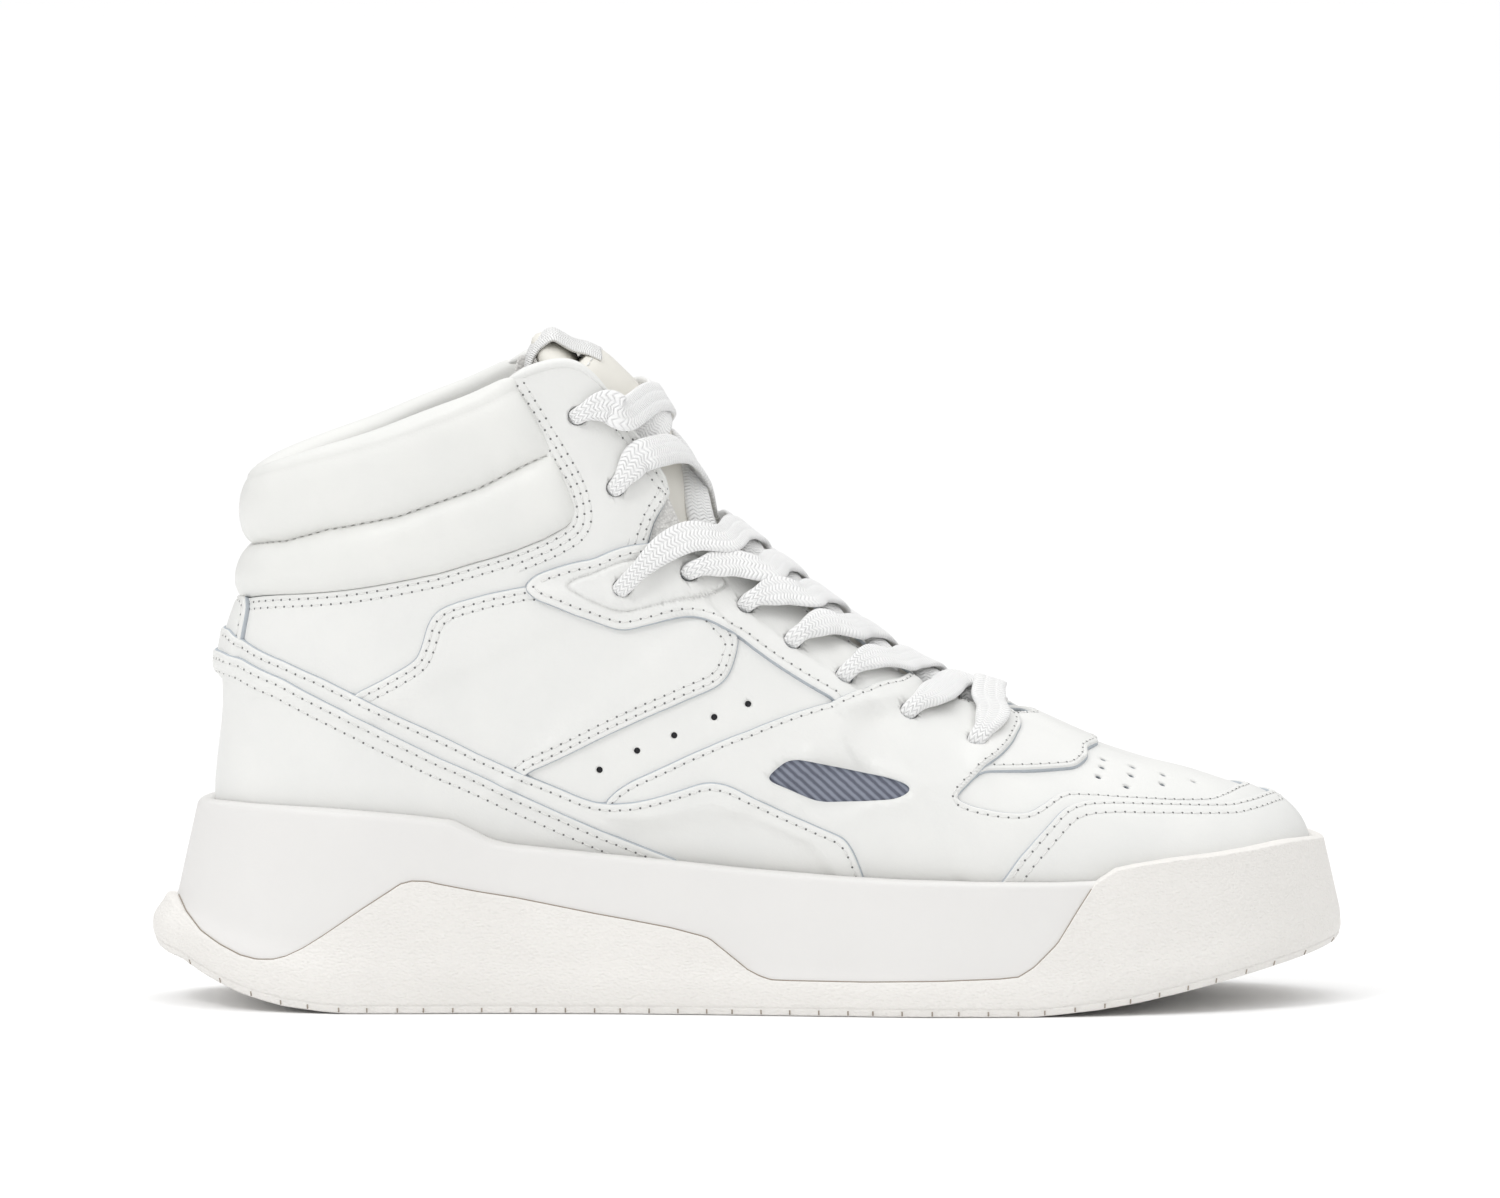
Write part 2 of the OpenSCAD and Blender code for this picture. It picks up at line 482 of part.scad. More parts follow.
RUBBER_LINE = [[-160, 31], [-148, 30.5], [-145, 26.5], [-140, 21.5], [-135, 18], [-130, 15.3], [-126, 14.2],
  [-122, 14.2], [-119, 15], [-115, 17], [-110, 20.2], [-100, 27], [-93, 31.5], [-87, 34.3], [-83, 34.2],
  [-80, 33.5], [-60, 30], [-40, 26], [-20, 22.3], [-12, 20.2], [-10, 19.5], [-5, 15.5], [0, 11.5], [3, 10],
  [10, 8.8], [30, 8.4], [50, 8.5], [65, 9], [70, 9.5], [74, 12], [80, 18], [85, 26], [90, 33.5], [92, 60],
  [170, 60]];
function plan(i) = i < 0 ? [SOLE_PLAN[-i].x, -SOLE_PLAN[-i].y]
  : i > LAST ? [SOLE_PLAN[TURN - i].x, -SOLE_PLAN[TURN - i].y] : SOLE_PLAN[i];
function plan_half(s) = let (i = min(floor(s), LAST - 1))
  spline(plan(i - 1), plan(i), plan(i + 1), plan(i + 2), s - i);
function plan_at(u) =
  let (v = wrap(u), h = plan_half(v <= LAST ? v : TURN - v)) [h.x, (v <= LAST ? -1 : 1) * h.y];
function plan_out(u) = let (d = plan_at(u + STEP) - plan_at(u - STEP)) [d.y, -d.x] / norm(d);
// Rings from the top edge down: [outward share of the flare, height share]
SOLE_RINGS = [[0, 1], [0.35, 0.62], [0.6, 0.32], [1, 0.2], [1, 0.1], [0.8, 0.0]];
toe_lip = 1.9;
heel_lip = 6.4;
function sole_ring(u, ring) = let (
    p = plan_at(u), o = plan_out(u), edge = lookup(p.x, SOLE_EDGE) - (sight_y - abs(p.y)) * sight_slope,
    lip_out = o.x > 0 ? toe_lip * o.x : -heel_lip * o.x,
    spread = (sole_flare + lip_out) * ring.x, q = p + spread * o,
    low = lookup(q.x, SOLE_BOTTOM) + 2.5, lip = low + 6 * abs(o.x))
  [q.x, q.y + sway(q.x), ring.y > 0 ? lip + (edge - lip) * (ring.y - 0.12) / 0.88 : low];
function sole_foot(u, inset, rise) = let (p = plan_at(u) + (sole_flare * 0.6 - inset) * plan_out(u))
  [p.x, p.y + sway(p.x), lookup(p.x, SOLE_BOTTOM) + rise];

// Solid with a ring of walls, closed across the shoe at the bottom and the top
module banded(columns) {
  n = len(columns);
  m = len(columns[0]);
  half = n / 2;
  function at(i, j) = (i % n) * m + j;
  polyhedron(points = flatten(columns), faces = [
    for (i = [0 : n - 1]) for (j = [0 : m - 2])
      each two(at(i, j), at(i, j + 1), at(i + 1, j + 1), at(i + 1, j)),
    for (i = [0 : half - 1])
      each concat(two(at(i, 0), at(i + 1, 0), at(n - i - 1, 0), at(n - i, 0)),
        two(at(i + 1, m - 1), at(i, m - 1), at(n - i, m - 1), at(n - i - 1, m - 1)))
  ]);
}

module sole_outer()
  banded([for (u = LOOP) concat([sole_foot(u, 1.5, 0)], [sole_foot(u, 0, 1)],
    [for (r = reversed(SOLE_RINGS)) sole_ring(u, r)])]);

cup_clear = function(p) 4 * lift + 0.2 - 1.0 * ramp(p.x, -10, 40);
CUP_ROWS = [0 : 3];
module sole_cup()
  banded([for (i = [0 : len(LOOP) - 1]) concat(
    [LOOP_POINTS[i][0] + [0, 0, -0.3]],
    [for (j = CUP_ROWS) LOOP_POINTS[i][j] + cup_clear(LOOP_POINTS[i][j]) * LOOP_NORMALS[i][j]])]);

rubber_skin = 5;
module sole_core() {
  inset = rubber_skin;
  banded([for (u = LOOP) let (a = sole_foot(u, inset, 9), b = sole_foot(u, inset, 70)) [a, b]]);
}

// Everything that belongs to the rubber, grown by a bond line
bond = 0.05;
module below_line(grow) elevation_both() offset(delta = grow)
  polygon(concat(RUBBER_LINE, [[170, -20], [-160, -20]]));

groove_w = 1.6;
groove_reach = 70;
module tread_grooves() {
  start = 3;
  for (x = [-140 : tread_pitch : 140])
    translate([x, -groove_reach, lookup(x, SOLE_BOTTOM) - start])
      cube([groove_w, 2 * groove_reach, start + tread_depth]);
}

cushion_x = -92;
cushion_z = 22;
cushion_t = 11.8;
cushion_gap = 0.15;
cushion_r = 22;
// The heel cushion drops into a pocket that is open to the top of the midsole
module cushion_shape(height, grow)
  translate([cushion_x, sway(cushion_x), cushion_z - grow])
    resize([0, 0, 0]) hull() for (x = [-cushion_r, 18]) translate([x, 0, 0])
      cylinder(h = height + grow, r = cushion_r + grow, $fn = 32);

// --------------------------------------------------------------- inner boards
module board(inset, low, high) {
  inner = [for (i = [0 : len(LOOP) - 1]) let (p = LOOP_POINTS[i][0], n = LOOP_NORMALS[i][0],
    o = unit([n.x, n.y, 0])) p - inset * o];
  banded([for (p = inner) [p + [0, 0, low], p + [0, 0, high]]]);
}

tab_w = 28;
TAB_OUTSIDE = [[-40.5, 171.4], [-46, 171.8], [-51, 174.3], [-55, 171], [-57, 166.2]];
TAB_INSIDE = [[-55, 165.6], [-52.5, 168.8], [-49.5, 170.6], [-45.5, 169.8], [-40.5, 169.7]];

// ------------------------------------------------------------------ sub-parts
module outsole() color(RUBBER) resize([0, 0, 0]) difference() {
  intersection() { sole_outer(); below_line(0); }
  sole_cup();
  sole_core();
  tread_grooves();
}
module midsole() color(FOAM) resize([0, 0, 0]) difference() {
  sole_outer();
  difference() {
    below_line(bond);
    sole_core();
  }
  sole_cup();
  cushion_shape(2 * cushion_t, cushion_gap);
}
module cushion_core() color(FOAM) cushion_shape(cushion_t, 0);
module strobel_board() color(BOARD) board(2.6, 0.1, 1.4);
module sockliner() color(TEXTILE) board(4.2, 1.7, 1.7 + sockliner_t);

module vamp_lining() color(TEXTILE) lining_part(front_split_x, 160, 0);
module quarter_lining(side) color(TEXTILE) lining_part(rear_split_x, front_split_x - butt_gap, side);
module heel_lining() color(TEXTILE) lining_part(-160, rear_split_x - butt_gap, 0);
module heel_counter() color(BOARD) stiffener()
  polygon([[-150, 38], [-150, 88], [-125, 84], [-100, 72], [-82, 56], [-78, 42]]);
module toe_puff() color(BOARD) stiffener()
  polygon([[112, 30], [118, 50], [124, 55], [132, 56], [160, 56], [160, 30]]);
module collar_foam() color(CREAM) collar_foam_body();
module collar_pad_upper() color(SOFT_LEATHER) roll(CHANNEL, ROLL_TOP, roll_upper, 1);
module collar_pad_lower() color(SOFT_LEATHER) roll(ROLL_BASE, CHANNEL, roll_lower, -1);
module collar_binding() color(WHITE_LEATHER) for (side = [-1, 1]) binding(side);

module vamp() color(WHITE_LEATHER) resize([0, 0, 0]) difference() {
  intersection() {
    flat_layer(LAYER_1, LAYER_1 + leather_t);
    elevation_both() polygon([[52 + butt_gap, 18], [52 + butt_gap, 120], [170, 120], [170, 18]]);
  }
  eyelet_holes();
  vamp_perforations();
}
module vamp_perforations() {
  r = 0.9;
  row_step = 5.5;
  for (c = [0 : 3]) for (j = [0 : 3 - c]) for (side = [-1, 1])
    translate([92 + 8.2 * c, sway(92 + 8.2 * c) + side * (3 + row_step * j) * (c == 3 ? 0.5 : 1), 40])
      cylinder(h = 60, r = r, $fn = 6);
}
module throat_bar() color(WHITE_LEATHER) wrap_panel(LAYER_2) throat_bar_2d();
module side_underlay(side) color(WHITE_LEATHER) resize([0, 0, 0]) difference() {
  side_panel(LAYER_1, side) difference() {
    underlay_2d();
    for (p = [[-38.5, 63], [-28.8, 68], [-19.2, 72], [-8.8, 76.8], [0, 80.3]])
      translate(p) circle(r = 0.9, $fn = 6);
  }
  eyelet_holes();
}
module window_mesh(side) color(MESH_GREY) side_panel(LAYER_1, side) mesh_2d();
module forefoot_overlay() color(WHITE_LEATHER) resize([0, 0, 0]) difference() {
  wrap_panel(LAYER_2) forefoot_2d();
  eyelet_holes();
}
module toe_guard() color(WHITE_LEATHER) wrap_panel(LAYER_3) toe_guard_2d();
module mid_panel(side) color(WHITE_LEATHER) side_panel(LAYER_2, side) mid_2d();
module ankle_panel(side) color(WHITE_LEATHER) resize([0, 0, 0]) difference() {
  side_panel(LAYER_1, side) ankle_2d();
  eyelet_holes();
}
module eyestay(side) color(WHITE_LEATHER) resize([0, 0, 0]) difference() {
  side_panel(LAYER_2, side) eyestay_2d();
  eyelet_holes();
}
module foxing(side) color(WHITE_LEATHER) side_panel(LAYER_3, side) foxing_2d();
module heel_cover() color(WHITE_LEATHER) wrap_panel(LAYER_4) heel_cover_2d();
module back_stay() color(WHITE_LEATHER) wrap_panel(LAYER_2) back_stay_2d();

module tongue_face() color(CREAM) slab(tongue_sheet(-tongue_skin_t), tongue_sheet(0), false);
module tongue_foam() color(CREAM)
  slab(tongue_sheet(-tongue_skin_t - tongue_foam_t), tongue_sheet(-tongue_skin_t - tongue_gap), false);
module tongue_lining() color(TEXTILE)
  slab(tongue_sheet(-2 * tongue_skin_t - tongue_foam_t),
    tongue_sheet(-tongue_skin_t - tongue_foam_t - tongue_gap), false);
module tongue_tab() color(TEXTILE)
  translate([0, tab_w / 2 + sway(-45), 0]) rotate([90, 0, 0]) linear_extrude(tab_w)
    polygon(concat(TAB_OUTSIDE, TAB_INSIDE));

module lace() color([0.90, 0.90, 0.91]) tube([for (i = [0 : len(LACE_ROUTE) - 1]) lace_ring(i)]);
module aglets() color([0.88, 0.88, 0.89]) for (side = [-1, 1])
  translate(skin(TAIL_S, TAIL_T, side, tail_depth) - [0, 0, aglet_l + 3 * layer_gap])
    cylinder(h = aglet_l, r = aglet_r, $fn = 16);

scale(k) outsole();
scale(k) midsole();
scale(k) cushion_core();
scale(k) strobel_board();
scale(k) sockliner();
scale(k) vamp_lining();
scale(k) quarter_lining(-1);  // quarter_lining_lateral
scale(k) quarter_lining(1);  // quarter_lining_medial
scale(k) heel_lining();
scale(k) heel_counter();
scale(k) toe_puff();
scale(k) collar_foam();
scale(k) collar_pad_upper();
scale(k) collar_pad_lower();
scale(k) collar_binding();
scale(k) vamp();
scale(k) throat_bar();
scale(k) side_underlay(-1);  // side_underlay_lateral
scale(k) side_underlay(1);  // side_underlay_medial
scale(k) window_mesh(-1);  // window_mesh_lateral
scale(k) window_mesh(1);  // window_mesh_medial
scale(k) forefoot_overlay();
scale(k) toe_guard();
scale(k) mid_panel(-1);  // mid_panel_lateral
scale(k) mid_panel(1);  // mid_panel_medial
scale(k) ankle_panel(-1);  // ankle_panel_lateral
scale(k) ankle_panel(1);  // ankle_panel_medial
scale(k) eyestay(-1);  // eyestay_lateral
scale(k) eyestay(1);  // eyestay_medial
scale(k) foxing(-1);  // foxing_lateral
scale(k) foxing(1);  // foxing_medial
scale(k) heel_cover();
scale(k) back_stay();
scale(k) tongue_face();
scale(k) tongue_foam();
scale(k) tongue_lining();
scale(k) tongue_tab();
scale(k) lace();
scale(k) aglets();
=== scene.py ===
"""Basketball high top: the visible shoe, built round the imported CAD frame.

Everything on the upper is cut from flat outlines and laid on one foundation surface,
the underside of the leather, which repeats the CAD model's own control net. Lengths in
the construction code are millimetres; mesh_piece() turns them into metres.
"""
import math

import bpy
import numpy as np
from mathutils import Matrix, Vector, geometry
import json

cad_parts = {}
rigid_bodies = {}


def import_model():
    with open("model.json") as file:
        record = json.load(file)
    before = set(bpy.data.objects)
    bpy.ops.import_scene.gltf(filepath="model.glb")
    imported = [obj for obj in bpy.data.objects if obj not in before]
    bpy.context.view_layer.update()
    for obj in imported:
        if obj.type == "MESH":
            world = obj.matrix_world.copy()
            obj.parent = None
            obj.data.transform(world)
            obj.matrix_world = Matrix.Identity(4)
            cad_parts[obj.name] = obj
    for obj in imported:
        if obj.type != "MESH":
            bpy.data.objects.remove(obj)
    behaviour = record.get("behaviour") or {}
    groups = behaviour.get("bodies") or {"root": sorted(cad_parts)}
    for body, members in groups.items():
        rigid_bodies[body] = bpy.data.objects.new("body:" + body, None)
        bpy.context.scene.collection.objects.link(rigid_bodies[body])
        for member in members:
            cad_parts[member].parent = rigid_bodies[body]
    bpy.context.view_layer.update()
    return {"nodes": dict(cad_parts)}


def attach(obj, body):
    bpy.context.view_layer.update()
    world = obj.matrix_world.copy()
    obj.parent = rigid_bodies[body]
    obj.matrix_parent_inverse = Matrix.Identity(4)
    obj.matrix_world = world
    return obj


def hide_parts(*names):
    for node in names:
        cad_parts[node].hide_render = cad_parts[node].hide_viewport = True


for leftover in list(bpy.data.objects):
    bpy.data.objects.remove(leftover)
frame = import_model()
MM = 0.001
ROOT = "upper_and_sole"
TONGUE = "tongue"

# ------------------------------------------------------------------ foundation
# Columns from the heel centre round one side to the toe centre; rows from the
# feather edge to the collar or throat; each point is x, half width, z.
NET = np.array([
    [[-131, 0, 37], [-136.2, 0, 52], [-134.4, 0, 75], [-133.9, 0, 93], [-128.3, 0, 112], [-126.5, 0, 137.5]],
    [[-121.5, 20, 36.8], [-126.5, 23.3, 51], [-125.8, 22.7, 73], [-125.5, 21, 93], [-122.5, 17.5, 114],
     [-119, 18, 141.5]],
    [[-100, 30, 36], [-101, 34, 50], [-101, 33.5, 72], [-102, 31.5, 94], [-101, 29.5, 118], [-99, 30, 148.5]],
    [[-62, 29, 35], [-64, 33.2, 49], [-66, 34.2, 72], [-68, 34, 97], [-71, 33, 126], [-75, 33.5, 157.5]],
    [[-28, 30.5, 31], [-30, 34.5, 46], [-35, 35.5, 71], [-39, 34.7, 99], [-43, 33, 132], [-46, 31, 167.3]],
    [[0, 33, 27.5], [-2, 37.5, 43], [-8, 38, 67], [-15, 35.5, 92], [-23, 31, 120], [-29, 26.5, 147.5]],
    [[25, 36.5, 25.5], [24, 41, 40], [17, 40.7, 60], [8, 37, 81], [-3, 30.5, 103], [-14, 22.5, 124.5]],
    [[52, 40.5, 24.5], [51, 45.2, 38], [45, 44, 54], [35, 38.3, 71], [24, 29.5, 88], [12, 19, 104]],
    [[82, 41, 24.5], [84, 45, 37], [79, 41.5, 50], [68, 34, 61.5], [54, 25, 73], [40, 15, 83.7]],
    [[113, 33.5, 26], [116, 36, 37.5], [110, 31.5, 48.5], [97, 24.5, 57.5], [79, 17.5, 67], [62, 10.5, 75]],
    [[131, 20, 27.3], [135.5, 21.5, 38.5], [129, 18.5, 49], [111, 14, 57.6], [90, 10, 65], [71, 6.3, 73.7]],
    [[138.5, 0, 28], [143.3, 0, 39], [137, 0, 49.5], [118, 0, 57.5], [95, 0, 63.5], [73, 0, 73]],
], float)
LAST = len(NET) - 1
TOP = NET.shape[1] - 1
TURN = 2 * LAST
STEP = 0.02


def sway(x):
    """Sideways bend of the sole and upper towards the big toe."""
    x = np.asarray(x, float)
    return -2.05 + np.where(x > -5, 7.6, 2.6) * (np.abs(x + 5) / 150) ** 1.9


def spline_weights(f):
    """Catmull-Rom weights of the four neighbours of a span."""
    return (0.5 * (-f + 2 * f**2 - f**3), 0.5 * (2 - 5 * f**2 + 3 * f**3),
            0.5 * (f + 4 * f**2 - 3 * f**3), 0.5 * (-f**2 + f**3))


def net_point(i, j):
    flipped = (i < 0) | (i > LAST)
    i = np.where(i < 0, -i, np.where(i > LAST, 2 * LAST - i, i))
    inside = NET[i, np.clip(j, 0, TOP)]
    below = 2 * NET[i, 0] - NET[i, 1]
    above = 2 * NET[i, TOP] - NET[i, TOP - 1]
    p = np.where((j < 0)[..., None], below, np.where((j > TOP)[..., None], above, inside))
    p = p.copy()
    p[..., 1] *= np.where(flipped, -1, 1)
    return p


def half_surface(s, t):
    """Point of the foundation for station s and row t, as x, half width, z."""
    s, t = np.broadcast_arrays(np.asarray(s, float), np.asarray(t, float))
    i = np.clip(np.floor(s).astype(int), 0, LAST - 1)
    j = np.clip(np.floor(t).astype(int), 0, TOP - 1)
    along, up = spline_weights(s - i), spline_weights(t - j)
    out = np.zeros(s.shape + (3,))
    for a in range(4):
        for b in range(4):
            out += (along[a] * up[b])[..., None] * net_point(i + a - 1, j + b - 1)
    return out


def foot(u, t):
    """Foundation point, u running once round: heel, lateral side, toe, medial side."""
    u = np.mod(np.asarray(u, float), TURN)
    lateral = u <= LAST
    p = half_surface(np.where(lateral, u, TURN - u), t)
    p[..., 1] = np.where(lateral, -1, 1) * p[..., 1] + sway(p[..., 0])
    return p


def unit(v):
    return v / np.maximum(np.linalg.norm(v, axis=-1, keepdims=True), 1e-9)


def foot_normal(u, t):
    across = foot(u + STEP, t) - foot(u - STEP, t)
    rise = foot(u, t + STEP) - foot(u, t - STEP)
    return unit(np.cross(across, rise))


def skin(u, t, h):
    """Point at height h above the foundation."""
    u, t = np.broadcast_arrays(np.asarray(u, float), np.asarray(t, float))
    return foot(u, t) + np.asarray(h, float)[..., None] * foot_normal(u, t)


# ----------------------------------------------------------- side elevation
# Outlines are drawn in side elevation, as seen from 4.5 degrees above.
SIGHT_SLOPE = 0.0785
SIGHT_Y = 45.0


def drawn(s, t):
    """Side elevation of the outer leather over a place: layers are thicker at the toe."""
    p = skin(s, t, 1.4 + 1.1 * np.clip((np.asarray(s, float) - 7.5) / 1.5, 0, 1))
    return p[..., 0], p[..., 2] + SIGHT_SLOPE * (p[..., 1] + SIGHT_Y)


SEED_S, SEED_T = np.meshgrid(np.linspace(0.05, LAST - 0.05, 110), np.linspace(0, TOP, 51), indexing="ij")
SEED_X, SEED_Z = drawn(SEED_S, SEED_T)


def on_side(points):
    """Places (s, t) on the foundation of points drawn in side elevation."""
    points = np.asarray(points, float)
    gap = (SEED_X[None] - points[:, 0, None, None]) ** 2 + (SEED_Z[None] - points[:, 1, None, None]) ** 2
    best = gap.reshape(len(points), -1).argmin(1)
    s, t = SEED_S.ravel()[best].copy(), SEED_T.ravel()[best].copy()
    e = 1e-3
    for _ in range(12):
        x, z = drawn(s, t)
        xs, zs = drawn(s + e, t)
        xt, zt = drawn(s, t + e)
        a, b, c, d = (xs - x) / e, (xt - x) / e, (zs - z) / e, (zt - z) / e
        det = a * d - b * c
        det = np.where(np.abs(det) < 20, 20 * np.sign(det + 1e-9), det)
        dx, dz = points[:, 0] - x, points[:, 1] - z
        s = np.clip(s + np.clip((dx * d - b * dz) / det, -0.3, 0.3), 0, LAST)
        t = np.clip(t + np.clip((a * dz - dx * c) / det, -0.3, 0.3), -0.2, TOP)
    return np.stack([s, t], 1)


def station_at(x):
    """Station at which the top edge has this x."""
    s = np.linspace(2, LAST, 600)
    edge = half_surface(s, np.full_like(s, TOP))[:, 0]
    return float(np.interp(x, edge, s))


def along_top(x0, x1, count=12):
    """Places along the collar or throat edge between two x values."""
    return np.array([(s, TOP) for s in np.linspace(station_at(x0), station_at(x1), count)])


# ------------------------------------------------------------------- meshes
def mesh_piece(name, verts, faces, materials, body=ROOT, slots=None, uv=None, smooth=True):
    mesh = bpy.data.meshes.new(name)
    mesh.from_pydata((np.asarray(verts) * MM).tolist(), [], [list(map(int, f)) for f in faces])
    for m in materials:
        mesh.materials.append(m)
    if slots is not None:
        mesh.polygons.foreach_set("material_index", np.asarray(slots, np.int32))
    mesh.polygons.foreach_set("use_smooth", np.full(len(mesh.polygons), smooth))
    if uv is not None:
        layer = mesh.uv_layers.new(name="UVMap")
        index = np.zeros(len(mesh.loops), np.int32)
        mesh.loops.foreach_get("vertex_index", index)
        layer.data.foreach_set("uv", np.asarray(uv, np.float32)[index].ravel())
    mesh.validate()
    obj = bpy.data.objects.new(name, mesh)
    bpy.context.collection.objects.link(obj)
    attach(obj, body)
    return obj


def sheet_faces(n, m, closed=False, offset=0, flip=False):
    """Quads of an n by m grid of vertices."""
    i, j = np.meshgrid(np.arange(n if closed else n - 1), np.arange(m - 1), indexing="ij")
    k = (i + 1) % n
    quads = np.stack([i * m + j, k * m + j, k * m + j + 1, i * m + j + 1], -1).reshape(-1, 4) + offset
    return quads[:, ::-1] if flip else quads


def tube_faces(rings, sides, offset=0):
    """Quads and two end caps of a closed tube."""
    i, j = np.meshgrid(np.arange(rings - 1), np.arange(sides), indexing="ij")
    k = (j + 1) % sides
    quads = np.stack([i * sides + j, (i + 1) * sides + j, (i + 1) * sides + k, i * sides + k], -1)
    faces = (quads.reshape(-1, 4) + offset)[:, ::-1].tolist()
    faces.append([offset + j for j in range(sides)][::-1])
    faces.append([offset + (rings - 1) * sides + j for j in range(sides)])
    return faces


def blur(a, sigma, axis=None):
    """Gaussian blur of an array along one axis or all of them."""
    reach = max(1, int(3 * sigma))
    weights = np.exp(-0.5 * (np.arange(-reach, reach + 1) / sigma) ** 2)
    weights /= weights.sum()
    for k in range(a.ndim) if axis is None else [axis]:
        padding = [(0, 0)] * a.ndim
        padding[k] = (reach, reach)
        padded = np.pad(a, padding, mode="edge")
        a = sum(w * np.take(padded, np.arange(i, i + a.shape[k]), axis=k) for i, w in enumerate(weights))
    return a


# ------------------------------------------------------------ panels of leather
RASTER = 0.02
RASTER_S = np.arange(0, LAST + RASTER / 2, RASTER)
RASTER_T = np.arange(0, TOP + RASTER / 2, RASTER)
heights = np.zeros((len(RASTER_S), len(RASTER_T)))
PLANE = np.array([25.0, 20.0])
EDGE_ROUND = 0.5
RINGS = (0.1, 0.26, 0.5, 0.85, 1.25, 1.7, 2.3, 3.1, 3.9, 4.7, 5.5)
GRID_S, GRID_T = 0.085, 0.1
FLARE_OUT = 0.45


def inside(points, polygon):
    """Even-odd test of many points against one closed polygon."""
    x, y = points[:, 0], points[:, 1]
    hit = np.zeros(len(points), bool)
    a, b = polygon, np.roll(polygon, -1, 0)
    for (x0, y0), (x1, y1) in zip(a, b):
        if y0 == y1:
            continue
        crosses = (y0 > y) != (y1 > y)
        hit ^= crosses & (x < (x1 - x0) * (y - y0) / (y1 - y0) + x0)
    return hit


def segment_distance(points, a, b):
    """Distance to the nearest of the segments a to b, and its index, in 3D."""
    d = b - a
    size = np.maximum((d * d).sum(1), 1e-12)
    best = np.full(len(points), 1e9)
    index = np.zeros(len(points), int)
    for start in range(0, len(points), 4000):
        p = points[start:start + 4000, None]
        f = np.clip(((p - a) * d).sum(2) / size, 0, 1)
        gap = np.linalg.norm(p - (a + f[..., None] * d), axis=2)
        k = gap.argmin(1)
        best[start:start + 4000] = gap[np.arange(len(k)), k]
        index[start:start + 4000] = k
    return best, index


def nearest_on(points, loop):
    """Distance to a closed polyline and the index of the nearest segment, in 3D."""
    return segment_distance(points, loop, np.roll(loop, -1, 0))


def run_length(points):
    """Length along a 3D path at each of its points."""
    return np.concatenate([[0], np.cumsum(np.linalg.norm(np.diff(points, axis=0), axis=1))])


def quarter_round(x):
    """Height of a quarter circle that rises from 0 at x = 0 to 1 at x = 1."""
    return np.sqrt(np.clip(1 - (1 - np.clip(x, 0, 1)) ** 2, 0, 1))


def resample(places, spacing, closed=True):
    """Even samples along a path of (s, t) places, measured on the foundation."""
    q = np.vstack([places, places[:1]]) if closed else np.asarray(places, float)
    fine = np.concatenate([np.linspace(a, b, 12, endpoint=False) for a, b in zip(q[:-1], q[1:])] + [q[-1:]])
    run = run_length(foot(fine[:, 0], fine[:, 1]))
    count = max(4, int(round(run[-1] / spacing)))
    where = np.linspace(0, run[-1], count + 1)
    out = np.stack([np.interp(where, run, fine[:, k]) for k in range(2)], 1)
    return out[:-1] if closed else out


def soften(places, sigma):
    """Round the corners of a closed outline, leaving the centre lines and the top edge in place."""
    n = len(places)
    tiled = np.concatenate([places, places, places])
    smooth = blur(tiled, sigma, 0)[n:2 * n]
    on_centre = (places[:, 0] <= 1e-6) | (places[:, 0] >= LAST - 1e-6)
    smooth[on_centre, 0] = places[on_centre, 0]
    on_top = places[:, 1] >= TOP - 1e-6
    smooth[on_top, 1] = TOP
    return smooth


def area(polygon):
    x, y = polygon[:, 0], polygon[:, 1]
    return 0.5 * np.sum(x * np.roll(y, -1) - y * np.roll(x, -1))


def shifted(places, d, closed=True):
    """Offset a path of places to its left by d millimetres, measured on the surface."""
    s, t = places[:, 0], places[:, 1]
    e = 1e-3
    ps = (foot(s + e, t) - foot(s - e, t)) / (2 * e)
    pt = (foot(s, t + e) - foot(s, t - e)) / (2 * e)
    normal = unit(np.cross(ps, pt))
    p = foot(s, t)
    run = np.roll(p, -1, 0) - np.roll(p, 1, 0) if closed else np.gradient(p, axis=0)
    left = unit(np.cross(normal, run))
    g11, g12, g22 = (ps * ps).sum(1), (ps * pt).sum(1), (pt * pt).sum(1)
    a, b = (left * ps).sum(1), (left * pt).sum(1)
    det = g11 * g22 - g12**2
    step = np.stack([(a * g22 - b * g12) / det, (b * g11 - a * g12) / det], 1)
    return places + d * step


def sample(field, s, t):
    x = np.clip(s / RASTER, 0, len(RASTER_S) - 1.001)
    y = np.clip(t / RASTER, 0, len(RASTER_T) - 1.001)
    i, j = x.astype(int), y.astype(int)
    f, g = x - i, y - j
    return ((1 - f) * (1 - g) * field[i, j] + f * (1 - g) * field[i + 1, j]
            + (1 - f) * g * field[i, j + 1] + f * g * field[i + 1, j + 1])


def circle_places(centre, radius, count=14):
    """A small circle on the surface round a place."""
    s, t = centre
    e = 1e-3
    ps = (foot(s + e, t) - foot(s - e, t)) / (2 * e)
    pt = (foot(s, t + e) - foot(s, t - e)) / (2 * e)
    g = np.array([[ps @ ps, ps @ pt], [ps @ pt, pt @ pt]])
    root = np.linalg.inv(np.linalg.cholesky(g).T)
    angle = np.linspace(0, 2 * math.pi, count, endpoint=False)
    return np.array(centre) + radius * (root @ np.stack([np.cos(angle), np.sin(angle)])).T


stitches = []
dark_dots = []
punched = []
STITCH_DENT = 0.13
DENT_WIDTH = 0.42
GROOVE_ROWS = (-0.95, -0.6, -0.3, 0, 0.3, 0.6, 0.95)


def in_box(places, low, high):
    return ((places > low) & (places < high)).all(1)


